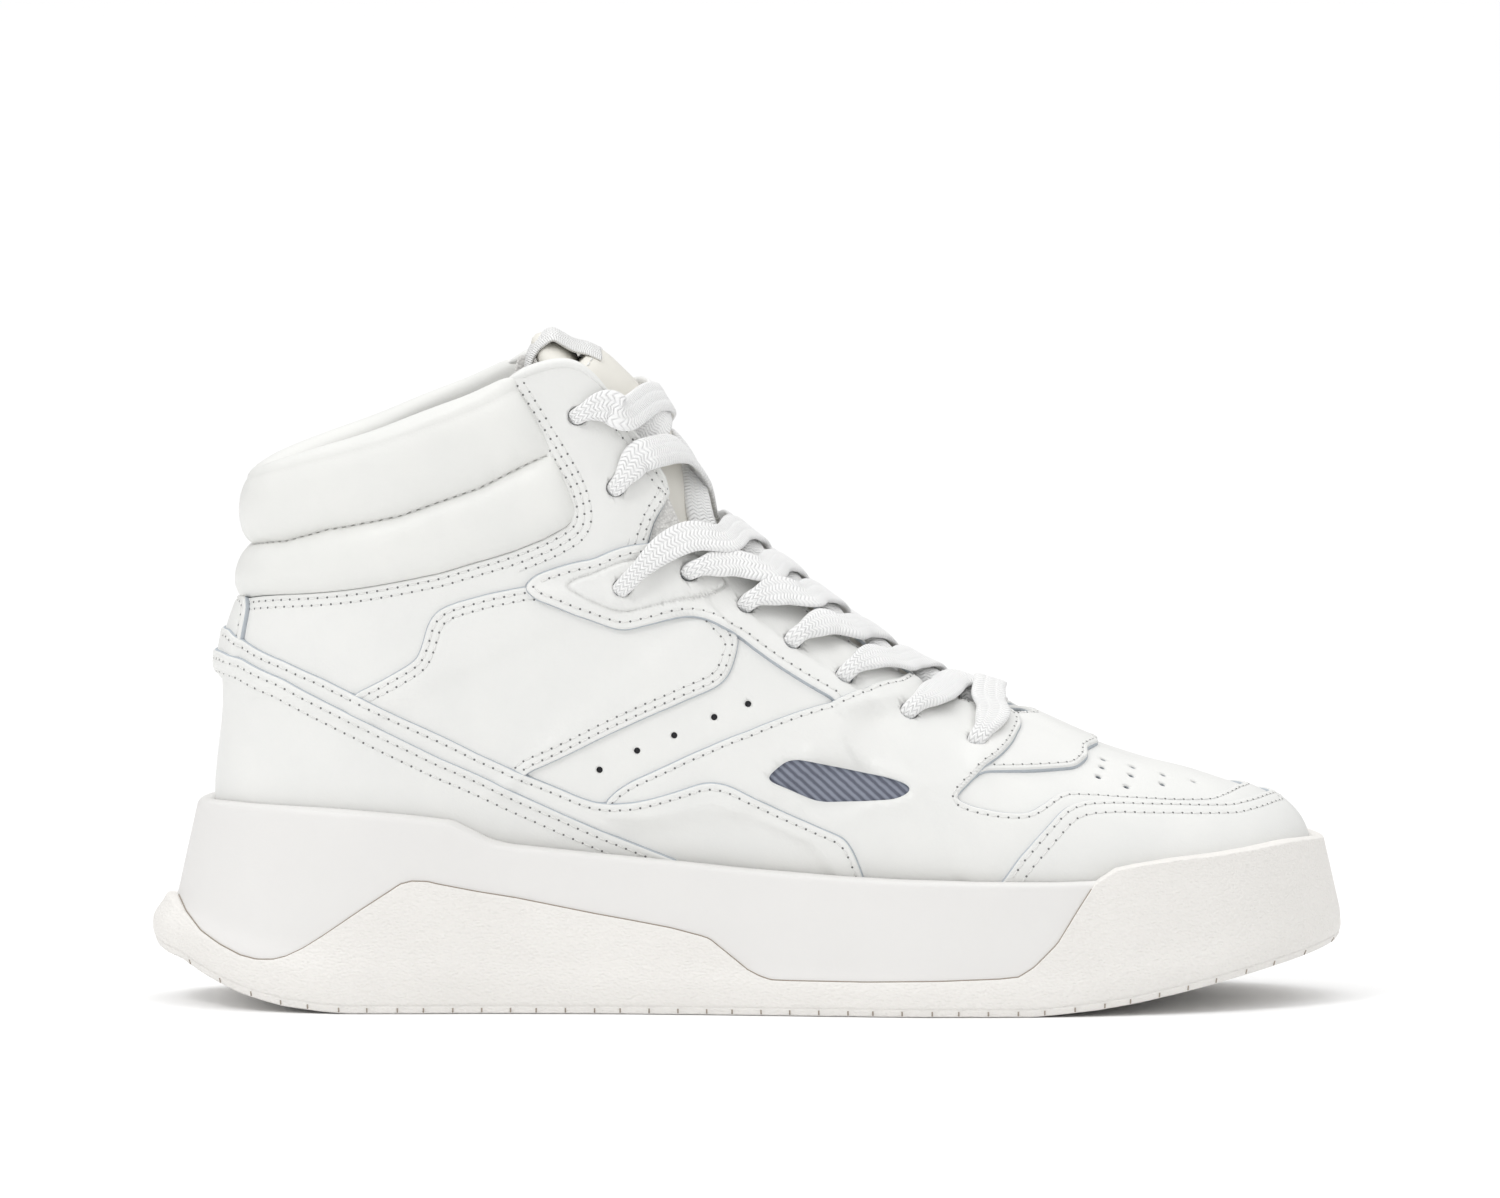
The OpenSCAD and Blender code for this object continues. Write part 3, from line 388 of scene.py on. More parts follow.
def cut_panel(outline, thickness, rows=(), holes=(), unstitched=(), grooves=(), drape=1.6, sink=0.35,
              add=True, corner=1.1, bulge=None, partial_rows=()):
    """Cut one panel, laid over what is already there, and note its stitches.

    Returns places, top and bottom heights, triangles and boundary edges of half of the shoe."""
    global heights
    edge = soften(resample(np.asarray(outline, float), 1.0), corner)
    if area(edge) < 0:
        edge = edge[::-1]
    edge3 = foot(edge[:, 0], edge[:, 1])
    following = np.roll(edge, -1, 0)
    centre = ((edge[:, 0] <= 1e-6) & (following[:, 0] <= 1e-6)) | (
        (edge[:, 0] >= LAST - 1e-6) & (following[:, 0] >= LAST - 1e-6))
    real = ~centre
    loops = [edge] + [np.asarray(h) for h in holes]
    loops3 = [foot(h[:, 0], h[:, 1]) for h in loops]

    def edge_distance(places):
        p = foot(places[:, 0], places[:, 1])
        gap, index = nearest_on(p, edge3)
        if centre.any():
            keep = np.where(real)[0]
            gap, near = segment_distance(p, edge3[keep], np.roll(edge3, -1, 0)[keep])
            index = keep[near]
        return gap, index

    points = [edge]
    for d in RINGS:
        ring = shifted(edge[real], d) if not centre.any() else shifted(edge, d)[real]
        ring[:, 0] = np.clip(ring[:, 0], 0, LAST)
        gap, _ = edge_distance(ring)
        points.append(ring[(gap > 0.86 * d) & inside(ring, edge)])
    gs, gt = np.meshgrid(np.arange(edge[:, 0].min(), edge[:, 0].max() + GRID_S, GRID_S),
                         np.arange(edge[:, 1].min(), edge[:, 1].max() + GRID_T, GRID_T), indexing="ij")
    gs = gs + np.where(np.arange(gs.shape[1]) % 2, GRID_S / 2, 0)[None]
    grid = np.stack([gs.ravel(), gt.ravel()], 1)
    for limit in (0.0, LAST):
        if centre.any() and (edge[:, 0] == limit).any():
            grid = grid[np.abs(grid[:, 0] - limit) > 0.5 * GRID_S]
    grid = grid[inside(grid, edge)]
    gap, _ = edge_distance(grid)
    grid = grid[gap > RINGS[-1] + 0.5]
    points.append(grid)
    for line in grooves:
        for d in GROOVE_ROWS:
            points.append(shifted(line, d))
    free = np.concatenate(points[1:])
    for h in holes:
        middle = foot(*h.mean(0))
        radius = np.linalg.norm(foot(h[:, 0], h[:, 1]) - middle, axis=1).mean()
        gap = np.linalg.norm(foot(free[:, 0], free[:, 1]) - middle, axis=1)
        free = free[gap > radius + 0.35]
        free = np.concatenate([free, circle_places(h.mean(0), radius + 0.25, len(h)),
                               circle_places(h.mean(0), radius + 0.7, len(h))])
    free = free[inside(free, edge)]
    coords = np.concatenate(loops + [free])
    links, start = [], 0
    for loop in loops:
        n = len(loop)
        links += [(start + i, start + (i + 1) % n) for i in range(n)]
        start += n
    flat = [Vector(p) for p in coords * PLANE]
    out = geometry.delaunay_2d_cdt(flat, links, [], 0, 1e-5, True)
    places = np.array([v[:] for v in out[0]]) / PLANE
    tris = np.array([f for f in out[2] if len(f) == 3])
    middles = places[tris].mean(1)
    keep = inside(middles, edge)
    for h in holes:
        keep &= ~inside(middles, h)
    tris = tris[keep]
    corners = places[tris] * PLANE
    cross = np.cross(corners[:, 1] - corners[:, 0], corners[:, 2] - corners[:, 0])
    tris = tris[np.abs(cross) > 1e-7]
    cross = cross[np.abs(cross) > 1e-7]
    tris[cross < 0] = tris[cross < 0][:, ::-1]

    places[:, 0] = np.clip(places[:, 0], 0, LAST)
    base_field = blur(heights, drape)
    base = sample(base_field, places[:, 0], places[:, 1])
    gap, index = edge_distance(places)
    for h3 in loops3[1:]:
        near, _ = nearest_on(foot(places[:, 0], places[:, 1]), h3)
        gap = np.minimum(gap, near)
    r = min(EDGE_ROUND, thickness * 0.7)
    top = base + thickness - r + np.sqrt(np.clip(r**2 - np.clip(r - gap, 0, r) ** 2, 0, None))
    stitched = real & (edge[:, 1] > 0.75)
    for lo, hi in unstitched:
        stitched &= ~in_box(edge, lo, hi)

    def thread_height(s, t):
        return sample(base_field, s, t) + thickness - STITCH_DENT

    for d, lo, hi in partial_rows:
        some = stitched & in_box(edge, lo, hi)
        top -= STITCH_DENT * np.exp(-((gap - d) / DENT_WIDTH) ** 2) * some[index]
        note_stitches(edge, some, d, thread_height)
    for d in rows:
        top -= STITCH_DENT * np.exp(-((gap - d) / DENT_WIDTH) ** 2) * stitched[index]
    for line in grooves:
        near, _ = nearest_on(foot(places[:, 0], places[:, 1]), foot(line[:, 0], line[:, 1]))
        within = inside(places, line)
        top -= 0.75 * np.exp(-(near / 0.45) ** 2)
        top += 0.35 * within * np.clip(near / 0.9, 0, 1)
    if bulge is not None:
        top += bulge(places[:, 0], places[:, 1], gap)
    for d in rows:
        note_stitches(edge, stitched, d, thread_height)
    if add:
        rs, rt = np.meshgrid(RASTER_S, RASTER_T, indexing="ij")
        covered = inside(np.stack([rs.ravel(), rt.ravel()], 1), edge).reshape(rs.shape)
        heights = np.where(covered, base_field + thickness, heights)
    ordered = np.sort(np.concatenate([tris[:, [0, 1]], tris[:, [1, 2]], tris[:, [2, 0]]]), 1)
    directed = np.concatenate([tris[:, [0, 1]], tris[:, [1, 2]], tris[:, [2, 0]]])
    _, first, count = np.unique(ordered, axis=0, return_index=True, return_counts=True)
    rim = directed[first[count == 1]]
    on_centre = ((places[rim][:, :, 0] <= 1e-6).all(1)) | ((places[rim][:, :, 0] >= LAST - 1e-6).all(1))
    # the cut edge leans outwards, so its raw side shows as a thin line, coloured as a raw edge darkened into
    # painted shade under the panel
    low = places.copy()
    border = np.unique(rim[~on_centre])
    out = (shifted(edge, -FLARE_OUT) - edge)[edge_distance(places[border])[1]]
    near, _ = nearest_on(foot(places[border, 0], places[border, 1]), edge3)
    middle = (places[border, 0] <= 1e-6) | (places[border, 0] >= LAST - 1e-6)
    out[middle, 0] = 0
    out[near > 0.3] = 0
    low[border] += out
    low[:, 0] = np.clip(low[:, 0], 0, LAST)
    return {"places": places, "low": low, "top": top, "bottom": np.minimum(base - sink, top - 0.1),
            "tris": tris, "rim": rim[~on_centre]}


STITCH_PITCH = 2.7
STITCH_LENGTH = 1.95


def note_stitches(edge, stitched, d, height):
    """Remember stitches of one row at distance d inside an outline."""
    line = shifted(edge, d)
    flags = stitched.copy()
    if flags.all():
        runs = [np.arange(len(edge) + 1) % len(edge)]
    else:
        start = int(np.where(~flags)[0][0])
        order = (np.arange(len(edge)) + start) % len(edge)
        runs, current = [], []
        for k in order:
            if flags[k]:
                current.append(k)
            elif current:
                runs.append(np.array(current))
                current = []
        if current:
            runs.append(np.array(current))
    for run in runs:
        if len(run) < 5:
            continue
        path = line[run]
        path[:, 0] = np.clip(path[:, 0], 0, LAST)
        p = foot(path[:, 0], path[:, 1])
        length = run_length(p)
        count = int(length[-1] / STITCH_PITCH)
        for k in range(count):
            ends = k * STITCH_PITCH + (STITCH_PITCH - STITCH_LENGTH) / 2 + np.array([0, STITCH_LENGTH])
            place = np.stack([np.interp(ends, length, path[:, c]) for c in range(2)], 1)
            stitches.append((place, height(place[:, 0], place[:, 1])))
            # the needle hole shows as a dark disc: painted shade
            hole = np.array([np.interp(k * STITCH_PITCH, length, path[:, c]) for c in range(2)])
            dark_dots.append((hole, float(height(hole[:1], hole[1:])[0]), 0.3))


def panel_piece(name, cut, kind, material, node, edge_material=None):
    """Make the mesh of a cut panel: kind is lateral, medial, toe or heel."""
    places, low, rim, tris = cut["places"], cut["low"], cut["rim"], cut["tris"]
    n = len(places)
    lateral = {"lateral": True, "medial": False}
    if kind in lateral:
        u = places[:, 0] if lateral[kind] else TURN - places[:, 0]
        u_low = low[:, 0] if lateral[kind] else TURN - low[:, 0]
        t, t_low = places[:, 1], low[:, 1]
        tops, bottoms = cut["top"], cut["bottom"]
        faces = tris if lateral[kind] else tris[:, ::-1]
        edges = rim if lateral[kind] else rim[:, ::-1]
    else:
        line = LAST if kind == "toe" else 0
        other = np.arange(n) + n
        centre = np.abs(places[:, 0] - line) < 1e-6
        other[centre] = np.arange(n)[centre]
        u = np.concatenate([places[:, 0], 2 * line - places[:, 0]])
        u_low = np.concatenate([low[:, 0], 2 * line - low[:, 0]])
        t, t_low = np.concatenate([places[:, 1]] * 2), np.concatenate([low[:, 1]] * 2)
        tops, bottoms = np.concatenate([cut["top"]] * 2), np.concatenate([cut["bottom"]] * 2)
        faces = np.concatenate([tris, other[tris][:, ::-1]])
        edges = np.concatenate([rim, other[rim][:, ::-1]])
    count = len(u)
    verts = np.concatenate([skin(u, t, tops), skin(u_low, t_low, bottoms)])
    walls = np.stack([edges[:, 1], edges[:, 0], edges[:, 0] + count, edges[:, 1] + count], 1)
    all_faces = faces.tolist() + (faces[:, ::-1] + count).tolist() + walls.tolist()
    slots = [0] * len(faces) + [1] * (len(faces) + len(walls))
    used = np.zeros(2 * count, bool)
    for f in all_faces:
        used[f] = True
    renumber = np.cumsum(used) - 1
    all_faces = [[int(renumber[i]) for i in f] for f in all_faces]
    obj = mesh_piece(name, verts[used], all_faces, [material, edge_material or material], slots=slots)
    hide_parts(*([node] if isinstance(node, str) else node))
    return obj


# ------------------------------------------------------------------ materials
def shader(name, colour, roughness, **extra):
    m = bpy.data.materials.new(name)
    m.use_nodes = True
    b = m.node_tree.nodes["Principled BSDF"]
    b.inputs["Base Color"].default_value = (*colour, 1)
    b.inputs["Roughness"].default_value = roughness
    for key, value in extra.items():
        b.inputs[key.replace("_", " ")].default_value = value
    return m, m.node_tree, b


def node(tree, kind, **values):
    n = tree.nodes.new(kind)
    for key, value in values.items():
        if key.startswith("in_"):
            n.inputs[key[3:].replace("_", " ")].default_value = value
        else:
            setattr(n, key, value)
    return n


def object_space(tree, scale=(1, 1, 1)):
    """Object coordinates, which are metres in the model's own frame."""
    coords = node(tree, "ShaderNodeTexCoord")
    mapping = node(tree, "ShaderNodeMapping")
    mapping.inputs["Scale"].default_value = scale
    tree.links.new(coords.outputs["Object"], mapping.inputs["Vector"])
    return mapping.outputs["Vector"]


def noise(tree, vector, scale, detail=2.0, rough=0.5):
    n = node(tree, "ShaderNodeTexNoise", in_Scale=scale, in_Detail=detail, in_Roughness=rough)
    tree.links.new(vector, n.inputs["Vector"])
    return n.outputs["Fac"]


def cells(tree, vector, scale, feature="F1"):
    n = node(tree, "ShaderNodeTexVoronoi", in_Scale=scale, feature=feature)
    tree.links.new(vector, n.inputs["Vector"])
    return n.outputs["Distance"]


def bump(tree, height, distance, normal=None, strength=1.0):
    n = node(tree, "ShaderNodeBump", in_Strength=strength, in_Distance=distance)
    tree.links.new(height, n.inputs["Height"])
    if normal is not None:
        tree.links.new(normal, n.inputs["Normal"])
    return n.outputs["Normal"]


def tint(tree, factor, dark, light, low=0.3, high=0.7):
    n = node(tree, "ShaderNodeValToRGB")
    n.color_ramp.elements[0].position, n.color_ramp.elements[1].position = low, high
    n.color_ramp.elements[0].color = (*dark, 1)
    n.color_ramp.elements[1].color = (*light, 1)
    tree.links.new(factor, n.inputs["Fac"])
    return n.outputs["Color"]


def spread(tree, factor, low, high):
    n = node(tree, "ShaderNodeMapRange")
    n.inputs["To Min"].default_value, n.inputs["To Max"].default_value = low, high
    tree.links.new(factor, n.inputs["Value"])
    return n.outputs["Result"]


def leather(name, light, dark, roughness, grain=0.00006, crease=0.00018):
    m, tree, b = shader(name, light, roughness, Coat_Weight=0.06, Coat_Roughness=0.4)
    space = object_space(tree)
    pores = cells(tree, space, 1500)
    fine = noise(tree, space, 2600, 3)
    broad = noise(tree, space, 55, 3)
    n = bump(tree, broad, crease, strength=0.6)
    n = bump(tree, pores, grain, n, 0.5)
    n = bump(tree, fine, grain * 0.5, n, 0.5)
    tree.links.new(n, b.inputs["Normal"])
    tree.links.new(tint(tree, broad, dark, light), b.inputs["Base Color"])
    tree.links.new(spread(tree, noise(tree, space, 140), roughness - 0.05, roughness + 0.07),
                   b.inputs["Roughness"])
    return m


def rubber(name, light, dark):
    """Moulded rubber with a fine leather-like grain."""
    m, tree, b = shader(name, light, 0.55)
    space = object_space(tree, (1, 1, 1.7))
    grain = noise(tree, space, 1050, 0)
    n = bump(tree, grain, 0.00026)
    n = bump(tree, noise(tree, space, 2400, 1), 0.00005, n, 0.5)
    tree.links.new(n, b.inputs["Normal"])
    tree.links.new(tint(tree, noise(tree, space, 40, 2), dark, light), b.inputs["Base Color"])
    tree.links.new(spread(tree, grain, 0.6, 0.52), b.inputs["Roughness"])
    return m


def foam(name, light, dark):
    """Moulded and painted foam sidewall: smooth with a faint skin."""
    m, tree, b = shader(name, light, 0.5)
    space = object_space(tree)
    n = bump(tree, noise(tree, space, 60, 2), 0.0004, strength=0.35)
    n = bump(tree, noise(tree, space, 1500, 2), 0.00006, n, 0.5)
    tree.links.new(n, b.inputs["Normal"])
    tree.links.new(tint(tree, noise(tree, space, 30, 2), dark, light), b.inputs["Base Color"])
    tree.links.new(spread(tree, noise(tree, space, 200), 0.46, 0.56), b.inputs["Roughness"])
    return m


def textile(name, light, dark, pitch=0.0007):
    """Knitted lining: a fine round mesh."""
    m, tree, b = shader(name, light, 0.85, Sheen_Weight=0.25, Sheen_Roughness=0.5)
    space = object_space(tree)
    dots = cells(tree, space, 1 / pitch)
    n = bump(tree, dots, 0.0003, strength=0.7)
    tree.links.new(n, b.inputs["Normal"])
    tree.links.new(tint(tree, dots, light, dark, 0.2, 0.7), b.inputs["Base Color"])
    return m


def braid(name, light, dark, across=3.0, along=1.0):
    """Flat braided lace: chevron plaits, darker in the grooves between them as painted shade. UV.x runs along
    in plaits, UV.y across.
    """
    m, tree, b = shader(name, light, 0.8, Sheen_Weight=0.3, Sheen_Roughness=0.45)
    uv = node(tree, "ShaderNodeTexCoord")
    split = node(tree, "ShaderNodeSeparateXYZ")
    tree.links.new(uv.outputs["UV"], split.inputs[0])

    def maths(op, a, c=None):
        n = node(tree, "ShaderNodeMath", operation=op)
        for k, v in enumerate((a, c)):
            if v is None:
                continue
            if isinstance(v, (int, float)):
                n.inputs[k].default_value = v
            else:
                tree.links.new(v, n.inputs[k])
        return n.outputs[0]

    lane = maths("MULTIPLY", split.outputs["Y"], across)
    zigzag = maths("PINGPONG", lane, 0.5)
    slant = maths("ADD", maths("MULTIPLY", split.outputs["X"], along), maths("MULTIPLY", zigzag, 1.5))
    yarn = maths("ABSOLUTE", maths("SINE", maths("MULTIPLY", slant, math.pi)))
    gutter = maths("SMOOTH_MIN", maths("MULTIPLY", zigzag, 5.0), 1.0)
    rib = maths("MULTIPLY", maths("POWER", yarn, 0.6), maths("ADD", maths("MULTIPLY", gutter, 0.5), 0.5))
    space = object_space(tree)
    n = bump(tree, rib, 0.00034, strength=0.9)
    n = bump(tree, noise(tree, space, 5000, 2), 0.00008, n, 0.6)
    tree.links.new(n, b.inputs["Normal"])
    # the darker colour follows the low parts of the plaits: painted shade in the grooves
    tree.links.new(tint(tree, rib, dark, light, 0.05, 0.6), b.inputs["Base Color"])
    return m


def ribbed_mesh(name, light, dark):
    """Grey textile with fine slanting ribs."""
    m, tree, b = shader(name, light, 0.75, Sheen_Weight=0.15)
    coords = node(tree, "ShaderNodeTexCoord")
    mapping = node(tree, "ShaderNodeMapping")
    mapping.inputs["Rotation"].default_value = (0, math.radians(48), 0)
    tree.links.new(coords.outputs["Object"], mapping.inputs["Vector"])
    wave = node(tree, "ShaderNodeTexWave", in_Scale=180.0, in_Distortion=0.6, in_Detail=1.0)
    wave.inputs["Detail Scale"].default_value = 3.0
    tree.links.new(mapping.outputs["Vector"], wave.inputs["Vector"])
    n = bump(tree, wave.outputs["Fac"], 0.0004, strength=0.9)
    n = bump(tree, noise(tree, coords.outputs["Object"], 3500, 2), 0.0001, n, 0.6)
    tree.links.new(n, b.inputs["Normal"])
    tree.links.new(tint(tree, wave.outputs["Fac"], dark, light, 0.15, 0.75), b.inputs["Base Color"])
    return m


def plain(name, colour, roughness, fine=900):
    m, tree, b = shader(name, colour, roughness)
    space = object_space(tree)
    speck = noise(tree, space, fine, 2)
    tree.links.new(bump(tree, speck, 0.00005, strength=0.6), b.inputs["Normal"])
    tree.links.new(tint(tree, speck, tuple(0.92 * c for c in colour), colour), b.inputs["Base Color"])
    return m


WHITE = leather("white_leather", (0.80, 0.80, 0.78), (0.77, 0.772, 0.755), 0.47)
NAPPA = leather("soft_nappa", (0.785, 0.785, 0.76), (0.755, 0.757, 0.735), 0.42, 0.00005, 0.0003)
CREAM = leather("tongue_nappa", (0.80, 0.78, 0.72), (0.77, 0.75, 0.69), 0.5)
# cut edge colour: the raw edge of the leather, darkened so it is also painted shade along the panel edges
CUT_EDGE_SHADE = plain("cut_edge_and_painted_shade", (0.50, 0.54, 0.58), 0.9)
THREAD = plain("thread", (0.80, 0.80, 0.78), 0.6, 4000)
# dark discs at the needle holes: painted shade
HOLE_SHADE = plain("stitch_hole_painted_shade", (0.17, 0.17, 0.17), 0.9)
# near-black discs under the perforations: painted shade
SHADE = plain("punch_hole_painted_shade", (0.03, 0.03, 0.035), 0.9)
# dark line at the step on the rubber's top edge and in the tread grooves: painted shade
STEP_SHADE = plain("rubber_edge_painted_shade", (0.36, 0.31, 0.26), 0.8)
SOLE_FOAM = foam("sidewall_foam", (0.775, 0.765, 0.75), (0.76, 0.75, 0.735))
RUBBER = rubber("grained_rubber", (0.82, 0.80, 0.77), (0.80, 0.78, 0.75))
TEXTILE = textile("lining_knit", (0.80, 0.79, 0.765), (0.62, 0.61, 0.59))
# the second colour of each braid is painted shade in its grooves
LACE = braid("lace_braid", (0.905, 0.905, 0.90), (0.775, 0.775, 0.775))
WEBBING = braid("tab_webbing", (0.90, 0.90, 0.89), (0.80, 0.80, 0.79), 8.0, 2.0)
MESH = ribbed_mesh("window_ribs", (0.25, 0.27, 0.33), (0.11, 0.12, 0.16))
BOARD = plain("fibre_board", (0.62, 0.56, 0.45), 0.9)
PLASTIC = plain("aglet_film", (0.78, 0.79, 0.80), 0.25)


# ------------------------------------------------------------ outlines of panels
def at(s, z):
    """Place at station s with this height in side elevation."""
    t = np.linspace(0, TOP, 250)
    _, rise = drawn(np.full_like(t, s), t)
    return float(s), float(np.interp(z, rise, t))


def along_feather(s0, s1, t=0.35, count=14):
    return [(s, t) for s in np.linspace(s0, s1, count)]


def outline(*parts):
    return np.array([tuple(p) for part in parts for p in (part if not isinstance(part, tuple) else [part])])


EYELETS = [(-44, 155), (-34, 136.5), (-32.5, 110.5), (-15, 114.5), (-0.5, 106), (11.5, 96.5), (25, 87.5),
           (41.5, 78), (59, 70.5)]
EYELET_R = 2.5
eyelet_places = on_side(EYELETS)

PAD_EDGE = [(-120, 108.7), (-110, 109.2), (-100, 110.3), (-90, 112), (-80, 114), (-70, 117), (-60, 120),
            (-53, 122.8), (-48, 125.5), (-46.5, 126.5), (-45.5, 128), (-45.5, 131), (-47, 136), (-50, 141),
            (-55, 149), (-60, 157), (-63.5, 162.6)]
FOXING_EDGE = [(-130, 96), (-120, 91), (-110, 86.5), (-100, 81.5), (-90, 76.5), (-80, 72), (-70, 67),
               (-60, 62.5), (-50, 58.5), (-43, 55.5), (-39, 54.3), (-35, 54.2), (-30, 54.5), (-25, 55.5),
               (-18, 57.5), (-12, 59.5), (-9, 59.8), (-5, 59), (5, 54), (15, 49.5), (22, 46.5), (25, 45),
               (27, 42), (29, 37), (30, 34.5)]
COVER_EDGE = [(-130, 91.5), (-120, 86.5), (-110, 81), (-100, 76), (-80, 66), (-60, 57), (-40, 48), (-25, 42),
              (-18, 39.3)]
MID_LEFT = [(-102, 82.5), (-95, 86), (-88, 90), (-85.5, 92), (-84, 96), (-83, 100), (-81.5, 103), (-79, 105),
            (-75, 106.5), (-67, 108.7), (-58, 110.5)]
MID_RIGHT = [(-2.5, 97.5), (-3, 94), (-4.5, 89), (-6, 86.5), (-8.5, 84.5), (-12, 83), (-20, 79.5),
             (-38, 71.5), (-57, 62.5)]
STAY_TOP = [(-58, 110.5), (-55, 113.5), (-40, 117.5), (-26, 121.5), (-20, 123), (-13, 123.5)]
STAY_BOTTOM = [(22.5, 81.3), (-2, 97.5), (-5, 99), (-10, 101.8), (-14, 103), (-18, 102.8), (-25, 101),
               (-31, 99.5), (-34, 99.6), (-38, 101), (-45, 103.5), (-55, 107.5)]
OVERLAY_TOP = [(-37, 54.5), (-34, 57.5), (-30, 60), (-20, 64.5), (-10, 69), (0, 73), (10, 77), (23, 80.8),
               (30, 83.5), (38, 85.2)]
OVERLAY_FRONT = [(69.5, 72.3), (61, 63.5), (53.5, 56), (54, 55.3), (58, 53.5), (65, 52), (70, 51.7), (73, 52),
                 (77, 54.5), (80, 56.8), (83, 57.7), (90, 57.5), (105, 56.8), (120, 56.5)]
GUARD_EDGE = [(65, 33.5), (70, 40), (75, 45.5), (80, 51), (82, 52.8), (85, 54), (88, 54.6), (95, 54.8),
              (110, 54.5), (125, 54.3)]
WINDOW = [(4.8, 61), (10, 65.5), (13, 65.8), (25, 63.5), (35, 61.5), (40, 60), (42.5, 58.5), (41.5, 57),
          (38, 55.5), (30, 55), (20, 54.7), (17, 55.2), (10, 58.3), (6, 60)]
BAR_EDGE = [(58, 61), (61, 62.8), (69, 63), (80, 63.7), (85, 64.2), (86.5, 65.5), (87.8, 69.5)]
STAY_GROOVE = [(-47.5, 110.5), (-46, 112), (-40, 114), (-26, 118), (-18, 119.3), (-13.5, 119.2),
               (-9.5, 116.5), (-5, 111.5), (-9, 109), (-14, 107.6), (-20, 106.8), (-25, 105.5),
               (-31, 104), (-35, 104.5), (-41, 107)]

window_hole = soften(resample(on_side(WINDOW), 0.8), 1.6)
if area(window_hole) < 0:
    window_hole = window_hole[::-1]


def holes_at(*numbers):
    return [circle_places(eyelet_places[i], EYELET_R) for i in numbers]


def station(x, z):
    return float(on_side([(x, z)])[0, 0])


def wide_rows(s, t, gap):
    """A faint unevenness of the hide, away from the cut edge."""
    return 0.05 * np.sin(s * 5.1 + t * 3.3) * np.clip(gap / 3, 0, 1)


VAMP_HOLES = [(91.3, 62.3), (92.4, 64.9), (92.7, 67.0), (98.6, 59.8), (99.9, 62.8), (100.4, 65.0),
              (108, 60.5), (108.3, 63.0), (116.3, 61.2)]
vamp_holes = [circle_places(p, 0.75, 10) for p in on_side(VAMP_HOLES)]

# Lowest first: each panel drapes over the ones cut before it.
vamp = cut_panel(outline((LAST, 0.35), (LAST, TOP), along_top(72.9, 46).tolist(), (7.1, 4.6),
                         (7.1, 1.0), along_feather(7.3, LAST)[:-1]), 1.1, holes=vamp_holes,
                 bulge=lambda s, t, g: 0.12 * np.sin(s * 4.7) * np.sin(t * 6) * np.clip(g / 4, 0, 1))
UNDERLAY_HOLES = [(-38.5, 63), (-28.8, 68), (-19.2, 72), (-8.8, 76.8), (0, 80.3)]
underlay = cut_panel(outline(on_side([(-68, 57), (-36, 47), (0, 52), (22, 66), (34, 80), (16, 92), (0, 104),
                                      (-10, 103), (-30, 90), (-48, 74)]).tolist()), 1.1,
                     holes=[circle_places(p, 0.85, 10) for p in on_side(UNDERLAY_HOLES)])
# dark discs of painted shade sit under the punched holes
punched += [(p, 0.8) for p in on_side(VAMP_HOLES)] + [(p, 0.95) for p in on_side(UNDERLAY_HOLES)]
mesh_cut = cut_panel(soften(shifted(window_hole, -3.2), 1.0), 0.7, corner=0.6)
ankle = cut_panel(outline(at(0, 107.6), at(0.5, 107.9), at(0.85, 108.3), on_side(PAD_EDGE).tolist(),
                          along_top(-62.5, -20.6, 16).tolist(),
                          on_side([(-24, 128), (-25, 125), (-26, 121.5), (-26, 112), (-36, 103), (-52, 99),
                                   (-76, 88), (-100, 74), (-122, 82)]).tolist(), at(0.5, 87), at(0, 88)),
                  1.1, rows=(1.4, 3.3), holes=holes_at(0, 1), partial_rows=[(5.2, (3.2, 3.3), (4.9, 4.95))],
                  unstitched=[((2.4, 4.93), (4.62, 5.2)), ((-1, 0), (2.2, 3.15)), ((1, 0), (4.9, 3.3))])
stay_back = cut_panel(outline(at(0, 108.7), at(0.3, 108.5), at(0.52, 107.7), at(0.62, 106.2), at(0.66, 103.5),
                              at(0.66, 88), at(0, 88)), 1.5, rows=(1.6,), sink=0.2)
mid = cut_panel(outline(on_side(MID_LEFT).tolist(), on_side([(-48, 110), (-30, 105), (-10, 106)]).tolist(),
                        on_side(MID_RIGHT).tolist(), on_side([(-62, 57), (-84, 66), (-104, 76)]).tolist()),
                1.15, rows=(1.4, 3.2), bulge=wide_rows)
bar = cut_panel(outline(on_side(BAR_EDGE).tolist(), (LAST, 4.28), (LAST, TOP),
                        along_top(72.9, 60, 10).tolist(), on_side([(57, 68)]).tolist()),
                1.3, rows=(1.5,), corner=1.4)
stay = cut_panel(outline(on_side(STAY_TOP).tolist(), along_top(-9.5, 44, 16).tolist(),
                         on_side([(42, 80), (34, 79), (24, 76.5)]).tolist(), on_side(STAY_BOTTOM).tolist()),
                 1.6, rows=(1.8,), holes=holes_at(2, 3, 4, 5, 6),
                 grooves=[soften(resample(on_side(STAY_GROOVE), 0.8), 1.6)], bulge=wide_rows, corner=1.3)
overlay = cut_panel(outline(on_side(OVERLAY_TOP).tolist(), along_top(40, 66.5, 10).tolist(),
                            on_side(OVERLAY_FRONT).tolist(), (10.5, 2.53), (LAST, 2.52), (LAST, 0.35),
                            along_feather(LAST, station(26, 38))[1:],
                            on_side([(16, 44), (4, 49), (-10, 53), (-25, 50), (-36, 50)]).tolist()),
                    1.15, rows=(1.3,), holes=holes_at(7, 8) + [window_hole], bulge=wide_rows)
foxing = cut_panel(outline(at(0, 99.6), at(0.4, 99.0), on_side(FOXING_EDGE).tolist(),
                           along_feather(station(30, 32), 0), (0.0, 0.35)), 1.1, rows=(1.5,))
